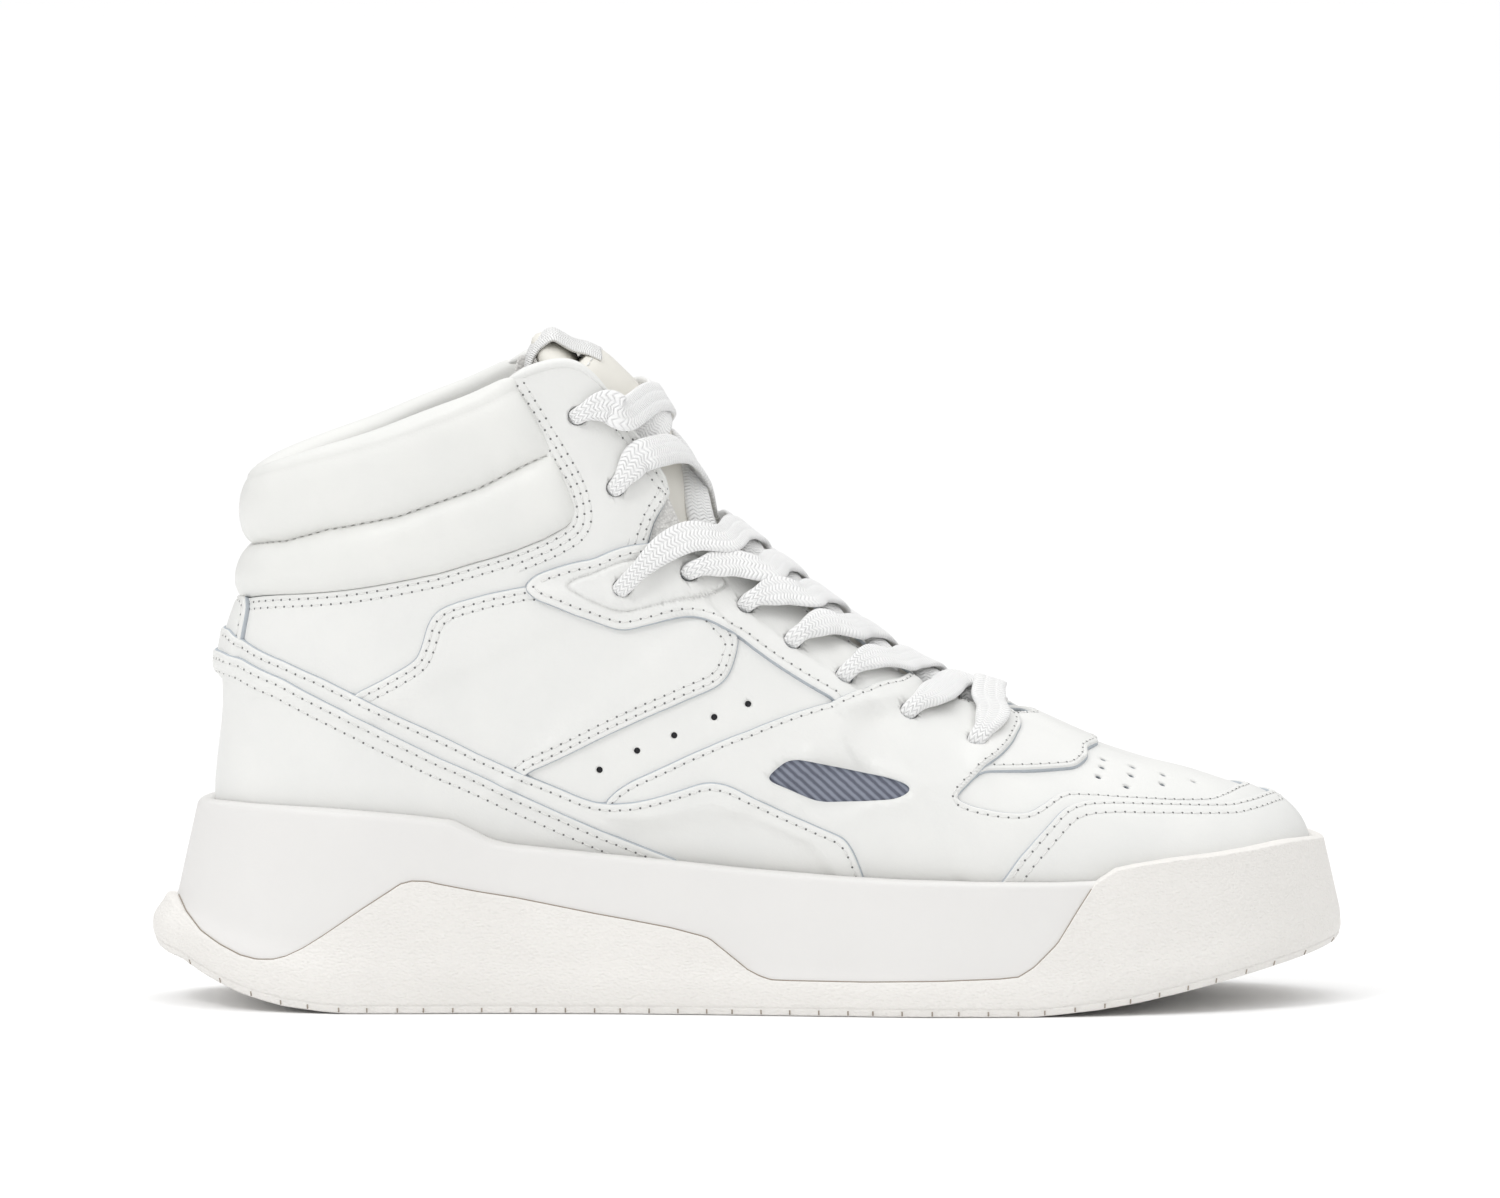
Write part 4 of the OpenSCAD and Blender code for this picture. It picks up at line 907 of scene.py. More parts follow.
cover = cut_panel(outline(at(0, 94.0), at(0.4, 93.4), on_side(COVER_EDGE).tolist(),
                          along_feather(station(-18, 37), 0), (0.0, 0.35)), 1.2, rows=(1.7, 4.9))
guard = cut_panel(outline(on_side(GUARD_EDGE).tolist(), (10.55, 2.2), (LAST, 2.18), (LAST, 0.35),
                          along_feather(LAST, station(65, 31))[1:]), 1.1, rows=(1.2, 3.9))



# panel whose walls and underside take the raw-edge colour that is also painted shade
def edge_shaded_piece(name, cut, kind, node_name):
    panel_piece(name, cut, kind, WHITE, node_name, CUT_EDGE_SHADE)


edge_shaded_piece("vamp_leather", vamp, "toe", "vamp")
edge_shaded_piece("throat_bar_leather", bar, "toe", "throat_bar")
edge_shaded_piece("forefoot_overlay_leather", overlay, "toe", "forefoot_overlay")
edge_shaded_piece("toe_guard_leather", guard, "toe", "toe_guard")
edge_shaded_piece("heel_cover_leather", cover, "heel", "heel_cover")
edge_shaded_piece("foxing_leather", foxing, "heel", ["foxing_lateral", "foxing_medial"])
edge_shaded_piece("back_stay_leather", stay_back, "heel", "back_stay")
for side in ("lateral", "medial"):
    panel_piece(f"side_underlay_leather_{side}", underlay, side, WHITE, f"side_underlay_{side}")
    panel_piece(f"window_textile_{side}", mesh_cut, side, MESH, f"window_mesh_{side}")
    edge_shaded_piece(f"ankle_panel_leather_{side}", ankle, side, f"ankle_panel_{side}")
    edge_shaded_piece(f"mid_panel_leather_{side}", mid, side, f"mid_panel_{side}")
    edge_shaded_piece(f"eyestay_leather_{side}", stay, side, f"eyestay_{side}")


# ---------------------------------------------------------------- stitching
def stitch_mesh():
    """Threads and needle holes that no later panel covers, on both sides; the holes, needle and punched, are
    dark discs of painted shade.
    """
    sides, rings = 6, ((-1.0, 0.25), (-0.82, 0.8), (0, 1.0), (0.82, 0.8), (1.0, 0.25))
    radius = 0.27
    ends_s, ends_t, ends_h = [], [], []
    for place, h in stitches:
        if (sample(heights, place[:, 0], place[:, 1]) > h + 0.75).any():
            continue
        ends_s.append(place[:, 0])
        ends_t.append(place[:, 1])
        ends_h.append(h)
    s, t, h = np.array(ends_s), np.array(ends_t), np.array(ends_h)
    verts, faces = [], []
    for lateral in (True, False):
        u = s if lateral else TURN - s
        p = skin(u, t, h + 0.12)
        n = foot_normal(u.mean(1), t.mean(1))
        a, b = p[:, 0], p[:, 1]
        run = b - a
        half = np.linalg.norm(run, axis=1, keepdims=True) / 2
        run = unit(run)
        across = np.cross(n, run)
        middle = (a + b) / 2
        for k in range(len(s)):
            start = len(verts)
            for along, thick in rings:
                for j in range(sides):
                    angle = 2 * math.pi * j / sides
                    offset = radius * thick * (math.cos(angle) * across[k] + math.sin(angle) * 0.8 * n[k])
                    verts.append(middle[k] + along * half[k] * run[k] + offset
                                 - n[k] * 0.18 * abs(along) ** 3)
            faces += tube_faces(len(rings), sides, start)
    thread = mesh_piece("leather_stitching", verts, faces, [THREAD])

    disc_mesh("stitch_hole_shade_discs", [(place, h + 0.13, radius) for place, h, radius in dark_dots
                               if sample(heights, place[:1], place[1:])[0] <= h + 0.75], HOLE_SHADE)
    disc_mesh("punch_hole_shade_discs", [(place, 0.1, radius) for place, radius in punched], SHADE)


def disc_mesh(name, discs, material):
    """Small dark discs of painted shade on both sides of the upper."""
    verts, faces = [], []
    for place, h, radius in discs:
        for lateral in (True, False):
            u = place[0] if lateral else TURN - place[0]
            n = foot_normal(u, place[1])
            p = skin(u, place[1], np.array(h))
            e1 = unit(np.cross(n, [0.3, 0.2, 1.0]))
            e2 = np.cross(n, e1)
            start = len(verts)
            for j in range(7):
                angle = 2 * math.pi * j / 7
                verts.append(p + radius * (math.cos(angle) * e1 + math.sin(angle) * e2))
            faces.append([start + j for j in range(7)])
    dots = mesh_piece(name, verts, faces, [material], smooth=False)


# -------------------------------------------------------------- collar padding
COLLAR_LINE = [(-127, 122), (-120, 122.5), (-109, 125.5), (-100, 127), (-90, 129), (-80, 132.5), (-70, 136),
               (-62, 140), (-55, 143.4), (-50.2, 145.2)]
roll_base = outline(at(0, 107.9), at(0.45, 108.1), at(0.85, 108.5),
                    on_side(PAD_EDGE[:11] + [(-44, 130)]).tolist())
roll_channel = outline(at(0, 121.9), at(0.4, 121.9), on_side(COLLAR_LINE).tolist())
FRONT_TOP = float(station_at(-61))
roll_top = np.array([(s, TOP) for s in np.linspace(0, FRONT_TOP, 30)])


def even(path, count):
    """Count places spread evenly along a path."""
    fine = resample(path, 0.4, closed=False)
    p = foot(fine[:, 0], fine[:, 1])
    run = run_length(p)
    where = np.linspace(0, run[-1], count)
    return np.stack([np.interp(where, run, fine[:, k]) for k in range(2)], 1), run[-1]


def swell(x, z):
    """How far the padding stands into the ankle opening."""
    def ramp(v, a, b):
        f = np.clip((v - a) / (b - a), 0, 1)
        return f * f * (3 - 2 * f)
    return (0.4 + 7 * ramp(z, 96, 122) * (1 - ramp(z - 0.32 * (x + 126), 128, 139))
            * (1 - ramp(x, -95, -56)))


def lining_height(u, t):
    p = foot(u, t)
    return -1.9 - swell(p[..., 0], p[..., 2])


ROLL_N, ROLL_M = 150, 22


def crown_profile(w, power=0.55):
    return np.clip(1 - (2 * w - 1) ** 2, 0, None) ** power


def roll_grid(low, high, crown, wrinkles):
    """Places and heights of one roll on the lateral half, heel centre first."""
    a, length = even(low, ROLL_N)
    b, _ = even(high, ROLL_N)
    w = 0.5 - 0.5 * np.cos(np.linspace(0, math.pi, ROLL_M))
    places = a[:, None] * (1 - w[None, :, None]) + b[:, None] * w[None, :, None]
    run = np.linspace(0, length, ROLL_N)[:, None]
    front = np.clip((length - run) / 7.5, 0, 1)
    end = np.sqrt(np.clip(1 - (1 - front) ** 2, 0, 1))
    h = crown * crown_profile(w)[None] * end
    for edge, size in wrinkles:
        near = np.exp(-((w[None] - edge) / 0.16) ** 2)
        wave = np.sin(run / 1.35 + 1.3 * np.sin(run / 7.1)) * (0.6 + 0.4 * np.sin(run / 11.3 + 1))
        h = h + size * near * wave * end * crown_profile(w, 0.3)[None]
    h = h + 0.25 * np.sin(run / 17 + 0.7) * np.sin(w[None] * 3.0) * end
    return places, h


def mirrored(places, h):
    """Extend a lateral half grid over the heel to the medial side."""
    other = places[1:][::-1].copy()
    other[..., 0] = TURN - other[..., 0]
    return np.concatenate([places[::-1], other[::-1]]), np.concatenate([h[::-1], h[1:]])


def collar_pads():
    places, h = mirrored(*roll_grid(roll_base, roll_channel, 4.3, ((0.9, 0.16), (0.12, 0.05))))
    verts = skin(places[..., 0], places[..., 1], h + 0.3)
    under = skin(places[..., 0], places[..., 1], np.full(h.shape, -0.4))
    close_grid("collar_roll_lower", verts, under, NAPPA, "collar_pad_lower")

    places, h = mirrored(*roll_grid(roll_channel, roll_top, 4.9, ((0.1, 0.22), (0.85, 0.05))))
    # the roll turns over the top of the collar and comes down inside it
    keep = slice(0, int(ROLL_M * 0.8))
    places, h = places[:, keep], h[:, keep]
    outer = skin(places[..., 0], places[..., 1], h + 0.3)
    top = places[:, -1]
    n = foot_normal(top[:, 0], top[:, 1])
    rise = unit(foot(top[:, 0], top[:, 1] + 0.02) - foot(top[:, 0], top[:, 1] - 0.02))
    h_out = h[:, -1] + 0.3
    inner = lining_height(top[:, 0], np.full(len(top), 4.7)) + 1.0
    length = len(top)
    edge = np.minimum(np.arange(length), np.arange(length)[::-1]) / 10.0
    round_end = quarter_round(edge)
    centre = (h_out + inner) / 2
    half = (h_out - inner) / 2
    angles = np.linspace(0.06, math.pi, 16)
    base = foot(top[:, 0], top[:, 1])
    height = 4.2 * (0.45 + 0.55 * round_end)
    cap = np.stack([base + (centre + half * math.cos(a))[:, None] * n
                    + (height * math.sin(a))[:, None] * rise for a in angles], 1)
    down = np.linspace(0, 1, 12)[1:]
    t_in = top[:, 1][:, None] + (3.2 - top[:, 1][:, None]) * down[None]
    u_in = np.repeat(top[:, :1], len(down), 1)
    inside_rows = skin(u_in, t_in, lining_height(u_in, t_in) + 0.15)
    profile = np.concatenate([outer, cap, inside_rows], 1)
    # a hidden return surface under the padding closes the solid
    back = skin(np.repeat(top[:, :1], 4, 1), np.linspace(3.3, 4.3, 4)[None] + 0 * top[:, :1],
                np.full((length, 4), -0.9))
    profile = np.concatenate([profile, back], 1)
    n_u, n_w = profile.shape[:2]
    faces = sheet_faces(n_u, n_w).tolist()
    faces += [[i * n_w, i * n_w + n_w - 1, (i + 1) * n_w + n_w - 1, (i + 1) * n_w] for i in range(n_u - 1)]
    faces.append(list(range(n_w)))
    faces.append([(n_u - 1) * n_w + j for j in range(n_w)][::-1])
    pad = mesh_piece("collar_roll_upper", profile.reshape(-1, 3), faces, [NAPPA])
    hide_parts("collar_pad_upper", "collar_foam")


def close_grid(name, outer, under, material, node_name):
    n, m = outer.shape[:2]
    verts = np.concatenate([outer.reshape(-1, 3), under.reshape(-1, 3)])
    faces = sheet_faces(n, m).tolist() + sheet_faces(n, m, offset=n * m, flip=True).tolist()
    rim = ([i * m for i in range(n)] + [(n - 1) * m + j for j in range(1, m)]
           + [i * m + m - 1 for i in range(n - 2, -1, -1)] + [j for j in range(m - 2, 0, -1)])
    for a, b in zip(rim, rim[1:] + rim[:1]):
        faces.append([b, a, a + n * m, b + n * m])
    pad = mesh_piece(name, verts, faces, [material])
    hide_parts(node_name)
    return pad


def channel_thread():
    line, _ = even(roll_channel, int(118 / 2.9))
    for k in range(len(line) - 2):
        place = np.array([line[k] + 0.15 * (line[k + 1] - line[k]), line[k] + 0.8 * (line[k + 1] - line[k])])
        stitches.append((place, np.array([0.75, 0.75])))


collar_pads()
channel_thread()


# --------------------------------------------------------------------- lining
def upper_lining():
    """One knitted lining from the footbed to the collar and throat, rolled at its edge."""
    count = 300
    s = np.linspace(0, LAST, count + 1)
    u = np.concatenate([s, (TURN - s)[1:-1][::-1]])
    down = np.concatenate([[0.15], np.linspace(0.4, 4.96, 30)])
    x_top = foot(u, np.full_like(u, TOP))[:, 0]
    under_pad = np.clip((-60 - x_top) / 6, 0, 1)
    notch = np.clip((x_top + 21) / 2, 0, 1) * np.clip((-9.5 - x_top) / 2, 0, 1)
    top_row = TOP - 0.55 * under_pad - 0.55 * notch
    rows = []
    for f in down:
        t = np.minimum(np.full_like(u, f), top_row)
        rows.append(skin(u, t, np.full_like(u, -0.35)))
    lip_t = top_row
    n = foot_normal(u, lip_t)
    rise = unit(foot(u, lip_t + 0.02) - foot(u, lip_t - 0.02))
    inner = lining_height(u, lip_t)
    for a in np.linspace(0, math.pi, 8):
        centre, half = (-0.35 + inner) / 2, (-0.35 - inner) / 2
        rows.append(foot(u, lip_t) + (centre + half * math.cos(a))[:, None] * n
                    + (0.9 * math.sin(a) * (1 - under_pad))[:, None] * rise)
    for f in down[::-1]:
        t = np.minimum(np.full_like(u, f), top_row)
        rows.append(skin(u, t, lining_height(u, t)))
    grid = np.stack(rows, 1)
    n_u, n_w = grid.shape[:2]
    faces = sheet_faces(n_u, n_w, closed=True).tolist()
    faces += [[i * n_w, i * n_w + n_w - 1, (i + 1) % n_u * n_w + n_w - 1, (i + 1) % n_u * n_w]
              for i in range(n_u)]
    lining = mesh_piece("knitted_lining", grid.reshape(-1, 3), faces, [TEXTILE])
    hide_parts("vamp_lining", "quarter_lining_lateral", "quarter_lining_medial", "heel_lining")


upper_lining()


# --------------------------------------------------------------------- tongue
TONGUE_DROP = 5.0
CROWN_S = [4.0, 4.3, 4.6, 5, 5.5, 6, 7, 8, 9, 10, 11]
CROWN_H = [4.5, 7.2, 9.8, 12, 10.5, 7, 5.8, 6.6, 6, 3, 1.5]


def edge_frame(s):
    """Direction along the throat edge in the XZ plane and the direction square to it."""
    d = half_surface(s + 0.05, np.full_like(s, TOP)) - half_surface(s - 0.05, np.full_like(s, TOP))
    d = unit(d * [1, 0, 1])
    return d, np.stack([-d[..., 2], 0 * s, d[..., 0]], -1)


def tongue_point(s, q, h=0.0):
    """Point over the tongue: q from -1 at the lateral throat edge to 1 at the medial one."""
    s, q, h = np.broadcast_arrays(np.asarray(s, float), np.asarray(q, float), np.asarray(h, float))
    top = np.full_like(s, TOP)
    a = skin(s, top, np.full_like(s, -TONGUE_DROP))
    b = skin(TURN - s, top, np.full_like(s, -TONGUE_DROP))
    _, up = edge_frame(s)
    crown = np.interp(s, CROWN_S, CROWN_H)
    return (a + b) / 2 + q[..., None] * (b - a) / 2 + ((1 - q**2) * crown + h)[..., None] * up


def tongue():
    s = np.concatenate([np.linspace(4.1, 4.6, 10)[:-1], np.linspace(4.6, 10.3, 66)])
    wings = np.linspace(4.3, 4.94, 6)
    q = np.linspace(-1, 1, 25)
    rows = []
    for station_s in s:
        left = skin(np.full(6, station_s), wings, np.full(6, -TONGUE_DROP))
        right = skin(np.full(6, TURN - station_s), wings, np.full(6, -TONGUE_DROP))[::-1]
        rows.append(np.concatenate([left, tongue_point(np.full(25, station_s), q), right]))
    grid = np.stack(rows)
    grid = blur(grid, 1.2, 1)
    gs = np.gradient(grid, axis=0)
    gq = np.gradient(grid, axis=1)
    normal = unit(np.cross(gs, gq))
    if normal[30, 18, 2] < 0:
        normal = -normal
    n, m = grid.shape[:2]
    run = run_length(grid[:, m // 2])
    across = run_length(grid[30])
    rim = np.minimum(run[:, None], np.minimum(across, across[-1] - across)[None])
    soft = 0.5 * np.sin(run[:, None] / 9.0) * np.sin(across[None] / 13.0)
    creases = 0.28 * np.sin(run[:, None] / 2.3 + 0.9 * np.sin(across[None] / 6.0)) * np.exp(
        -((across[None] - across[-1] / 2) / 12.0) ** 2)
    seam = -0.5 * np.exp(-((rim - 3.0) / 0.7) ** 2)
    rounded = quarter_round(rim / 1.6)
    top_h = 0.1 * soft + creases * 0.35 + seam - 0.9 + 0.9 * rounded
    thick = 6.0
    roll = 1 - quarter_round(run / 5.0)
    top_h = top_h - 3.2 * roll[:, None]

    def piece(name, high, low, materials, nodes, body=TONGUE):
        outer = grid + high[..., None] * normal
        inner = grid + low[..., None] * normal
        verts = np.concatenate([outer.reshape(-1, 3), inner.reshape(-1, 3)])
        direction = float((np.cross(gs[30, 18], gq[30, 18]) * normal[30, 18]).sum())
        faces = sheet_faces(n, m, flip=direction < 0).tolist()
        faces += sheet_faces(n, m, offset=n * m, flip=direction > 0).tolist()
        loop = ([i * m for i in range(n)] + [(n - 1) * m + j for j in range(1, m)]
                + [i * m + m - 1 for i in range(n - 2, -1, -1)] + [j for j in range(m - 2, 0, -1)])
        for a, b in zip(loop, loop[1:] + loop[:1]):
            wall = [b, a, a + n * m, b + n * m]
            faces.append(wall if direction > 0 else wall[::-1])
        obj = mesh_piece(name, verts, faces, materials, body)
        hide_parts(*nodes)
        return obj

    under = np.minimum(-1.1, top_h - 0.6)
    face = piece("tongue_face_leather", top_h, under, [CREAM], ["tongue_face"])
    roundness = 1.6 * quarter_round(rim / 3.0)
    body = piece("tongue_padding", under, np.minimum(-thick + 1.6 - roundness, under - 0.6), [TEXTILE],
                 ["tongue_foam", "tongue_lining"])

    verts, faces = [], []
    count = int(across[-1] / 2.7)
    row = 1
    for k in range(4, count - 4):
        d = (k + np.array([0.15, 0.85])) * 2.7
        ends = np.stack([np.interp(d, across, (grid + (top_h[..., None] + 0.1) * normal)[row + 1, :, c])
                         for c in range(3)], 1)
        start = len(verts)
        direction = unit(ends[1] - ends[0])
        side_a = unit(np.cross(direction, [0.1, 0.2, 1.0]))
        side_b = np.cross(direction, side_a)
        for f in (0, 0.2, 0.8, 1):
            radius = 0.12 if f in (0, 1) else 0.28
            for j in range(6):
                angle = 2 * math.pi * j / 6
                verts.append(ends[0] + f * (ends[1] - ends[0])
                             + radius * (math.cos(angle) * side_a + math.sin(angle) * side_b))
        faces += tube_faces(4, 6, start)
    thread = mesh_piece("tongue_stitching", verts, faces, [THREAD], TONGUE)


def smooth_path(points, per_span):
    """Catmull-Rom curve through points of any dimension."""
    p = np.asarray(points, float)
    p = np.concatenate([[2 * p[0] - p[1]], p, [2 * p[-1] - p[-2]]])
    out = []
    for i in range(1, len(p) - 2):
        f = np.linspace(0, 1, per_span, endpoint=False)
        w = spline_weights(f)
        out.append(sum(w[k][:, None] * p[i - 1 + k] for k in range(4)))
    out.append(p[-2:-1])
    return np.concatenate(out)


def tongue_tab():
    """A loop of webbing sewn over the top of the tongue."""
    path = smooth_path([(-56.4, 158.5), (-57.4, 163.5), (-56.8, 168.0), (-54.9, 171.4), (-52.2, 173.6),
                        (-50.6, 174.0), (-48.5, 172.9), (-45.6, 171.3), (-42.0, 170.4), (-38.5, 168.8)], 10)
    d = unit(np.gradient(path, axis=0))
    normal = np.stack([-d[:, 1], d[:, 0]], 1)
    half_t, half_w = 0.75, 14.0
    y = np.linspace(-1, 1, 29)
    centre = float(sway(-45))
    ring = []
    for sign in (1, -1):
        for v in (y if sign > 0 else y[::-1]):
            edge = np.sqrt(max(0.0, 1 - max(0.0, (abs(v) - 0.95) / 0.05) ** 2))
            ring.append((v, sign * (0.25 + 0.75 * edge)))
    verts, uv = [], []
    run = run_length(path)
    for k in range(len(path)):
        for v, o in ring:
            p = path[k] + half_t * o * normal[k]
            bow = 1.5 * v * v
            verts.append((p[0] + 0.3 * bow, centre + half_w * v, p[1] - bow))
            uv.append((run[k] / 1.1, (v + 1) / 2))
    obj = mesh_piece("tongue_tab_webbing", verts, tube_faces(len(path), len(ring)), [WEBBING], TONGUE, uv=uv)
    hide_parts("tongue_tab")


def tongue_crest():
    """The stuffed top of the tongue, inside the tab."""
    y = np.linspace(-1, 1, 25)
    angle = np.linspace(0, 2 * math.pi, 20, endpoint=False)
    round_end = np.sqrt(np.clip(1 - y**2, 0.01, 1)) ** 0.6
    centre = float(sway(-45))
    verts = [(-50.0 + 6.4 * r * math.cos(a) + 1.6 * v * v, centre + 19 * v,
              167.8 + 5.0 * r * math.sin(a) - 0.45 * 6.4 * r * math.cos(a) - 4.5 * v * v)
             for v, r in zip(y, round_end) for a in angle]
    obj = mesh_piece("tongue_crest", verts, tube_faces(len(y), len(angle)), [CREAM], TONGUE)


def binding():
    """Piping folded over the front of the collar on each side."""
    s = np.linspace(FRONT_TOP - 0.05, station_at(-20.6), 60)
    angle = np.linspace(0, 2 * math.pi, 14, endpoint=False)
    for lateral in (True, False):
        u = s if lateral else TURN - s
        top = np.full_like(u, TOP)
        n = foot_normal(u, top)
        rise = unit(foot(u, top + 0.02) - foot(u, top - 0.02))
        taper = np.sqrt(np.clip(np.minimum(np.arange(60), np.arange(60)[::-1]) / 4.0, 0.02, 1))
        ring = (foot(u, top)[:, None] + (-0.3 + 2.0 * taper[:, None] * np.cos(angle))[..., None] * n[:, None]
                + (0.1 + 1.5 * taper[:, None] * np.sin(angle))[..., None] * rise[:, None])
        mesh_piece("binding_" + ("lateral" if lateral else "medial"), ring.reshape(-1, 3),
                                tube_faces(len(s), len(angle)) if lateral else
                                [f[::-1] for f in tube_faces(len(s), len(angle))], [WHITE])
    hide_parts("collar_binding")


tongue()
tongue_crest()
tongue_tab()
binding()

# --------------------------------------------------------------------- lacing
LACE_W, LACE_T = 9.0, 1.9
EDGE_X = [-33.5, -27.5, -9, 2, 12, 23, 36, 49, 61]
edge_s = [station_at(x) for x in EDGE_X]
LOW, HIGH = 3.4, 5.4
OVER = {0: 1.2, 1: 1.2, 2: 2.9, 3: 3.1, 4: 3.2, 5: 3.2, 6: 3.2, 7: 2.7, 8: 2.7}


def side_u(s, side):
    return s if side < 0 else TURN - s


def single(u, t, h):
    return skin(np.array([float(u)]), np.array([float(t)]), np.array([float(h)]))[0]


def lace_route():
    """Points of the whole lace: place, width, thickness and direction of the width."""
    def run_at(s):
        return edge_frame(np.array([s]))[0][0]

    def eyelet(i, side, h, share):
        e = eyelet_places[i]
        q = e + share * (np.array([edge_s[i], TOP]) - e)
        return single(side_u(q[0], side), q[1], h)

    def pass_in(i, side):
        r, over = run_at(edge_s[i]), OVER[i] + LACE_T / 2 + 0.15
        return [(eyelet(i, side, over + 0.7, 0.62), LACE_W, LACE_T, r),
                (eyelet(i, side, over + 0.75, 0.36), LACE_W * 0.86, LACE_T * 1.15, r),
                (eyelet(i, side, over + 0.35, 0.13), LACE_W * 0.55, LACE_T * 1.6, r),
                (eyelet(i, side, over - 1.2, 0.0), 4.5, 3.4, r),
                (eyelet(i, side, -1.0, -0.02), 3.8, 3.0, r),
                (eyelet(i, side, -3.2, 0.12), 4.0, 1.6, r),
                (eyelet(i, side, -3.5, 0.5), LACE_W * 0.9, LACE_T, r)]

    def over_tongue(s, q, h):
        return tongue_point(np.array([s]), np.array([q]), np.array([h]))[0]

    def leg(i, side, cross):
        a, b = edge_s[i], edge_s[i - 1]
        r, r2 = run_at(a), run_at(b)
        low, high = {1: (1.2, 2.8), 2: (2.0, 3.6)}.get(i, (LOW, HIGH))
        cross = high if cross > LOW else low
        return [(over_tongue(a, side * 0.93, 1.2), LACE_W, LACE_T, r),
                (over_tongue(a + (b - a) * 0.22, side * 0.5, (low + cross) / 2), LACE_W, LACE_T, r),
                (over_tongue((a + b) / 2, 0, cross), LACE_W, LACE_T, (r + r2) / 2),
                (over_tongue(a + (b - a) * 0.78, -side * 0.5, max(cross, high) + 0.5), LACE_W, LACE_T, r2),
                (single(side_u(a + (b - a) * 0.93, -side), TOP, OVER[i - 1] + 1.5), LACE_W, LACE_T, r2)]

    def climb(i, side):
        if i == 0:
            return []
        cross = HIGH if side > 0 else LOW
        return leg(i, side, cross) + pass_in(i - 1, -side) + climb(i - 1, -side)

    def tail(side):
        depth = -4.0
        return [(single(side_u(4.12, side), 4.62, -3.4), LACE_W * 0.8, LACE_T, np.array([-0.5, 0, -1.0])),
                (single(side_u(4.0, side), 4.4, -3.5), LACE_W * 0.8, LACE_T, np.array([-1, 0, -0.4])),
                (single(side_u(3.92, side), 4.1, depth), LACE_W * 0.6, LACE_T, np.array([-1.0, 0, 0])),
                (single(side_u(3.92, side), 3.85, depth), 2.4, 2.4, np.array([-1.0, 0, 0]))]

    s = edge_s[-1]
    r = run_at(s)
    places = [single(side_u(s, -1), TOP, OVER[8] + 1.4), over_tongue(s, -0.5, HIGH + 1.6),
              over_tongue(s, 0, HIGH + 1.3), over_tongue(s, 0.5, HIGH + 1.6),
              single(side_u(s, 1), TOP, OVER[8] + 1.4)]
    bar = [(place, LACE_W, LACE_T, r) for place in places]
    ends = {side: pass_in(8, side) + climb(8, side) + tail(side) for side in (-1, 1)}
    return ends[-1][::-1] + bar + ends[1]


def lace():
    route = lace_route()
    packed = np.array([np.concatenate([p, [w, t], unit(np.asarray(d, float))]) for p, w, t, d in route])
    path = smooth_path(packed, 9)
    place, wide, thick, across = path[:, :3], path[:, 3], path[:, 4], path[:, 5:8]
    for _ in range(2):
        place = np.concatenate([place[:1], (place[:-2] + 2 * place[1:-1] + place[2:]) / 4, place[-1:]])
    run = unit(np.gradient(place, axis=0))
    length = run_length(place)
    across = unit(across - (across * run).sum(1, keepdims=True) * run)
    for _ in range(3):
        across = unit(blur(across, 2.0, 0))
        across = unit(across - (across * run).sum(1, keepdims=True) * run)
    up = np.cross(run, across)
    sides = 20
    angle = np.linspace(0, 2 * math.pi, sides, endpoint=False)
    cx = np.sign(np.cos(angle)) * np.abs(np.cos(angle)) ** 0.62
    cy = np.sign(np.sin(angle)) * np.abs(np.sin(angle)) ** 0.75
    wave = 0.16 * np.sin(length / 1.7 + 0.6 * np.sin(length / 9.0))
    bow = 0.10 * wide
    rng = np.random.default_rng(7)
    lump = blur(rng.normal(size=(len(place), 2)), 6.0, 0) * 1.6
    wide = wide * (1 + 0.10 * np.clip(lump[:, 0], -1, 1))
    verts = (place[:, None] + (wide / 2)[:, None, None] * cx[None, :, None] * across[:, None]
             + ((thick / 2)[:, None] * cy[None] + (wave * 0.3)[:, None] * cx[None]
                - (bow[:, None] * (cx[None] ** 2 - 0.4) * 0.35))[..., None] * up[:, None])
    uv = np.stack([np.repeat(length[:, None] / 1.15, sides, 1),
                   np.repeat((cx[None] + 1) / 2, len(place), 0)], -1)
    obj = mesh_piece("braided_lace", verts.reshape(-1, 3), tube_faces(len(place), sides), [LACE],
                     uv=uv.reshape(-1, 2))
    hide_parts("lace")
    print("lace length mm", round(float(length[-1])))


lace()


# ----------------------------------------------------------------------- sole
SOLE_PLAN = np.array([(-143, 0), (-132, 27), (-105, 41.5), (-65, 41), (-28, 42), (0, 45), (26, 49), (53, 53),
                      (85, 52.6), (118, 43), (139.5, 26), (149, 0)], float)
SOLE_EDGE = np.array([(-146, 55.5), (-130, 54), (-110, 52.7), (-90, 51), (-78, 49.7), (-72, 46.8),
                      (-68, 44.8), (-63, 43.5), (-50, 42.2), (-20, 39.4), (0, 37.2), (20, 35.5),
                      (40, 34.2), (60, 33.6), (80, 33.5), (90, 33.8), (95, 37), (100, 38), (110, 39.5),
                      (120, 40.5), (130, 42), (140, 44), (150, 45)], float)
SOLE_BOTTOM = np.array([(-153, 16), (-148, 13.2), (-144, 10.8), (-140, 8.6), (-135, 6.2), (-130, 4.2),
                        (-125, 2.8), (-120, 1.6), (-110, 0.4), (-104, 0), (74, 0), (80, 0.5), (90, 1.5),
                        (100, 3), (110, 5), (120, 7.2), (130, 9.6), (140, 11.9), (148, 13.8),
                        (154, 15.4)], float)
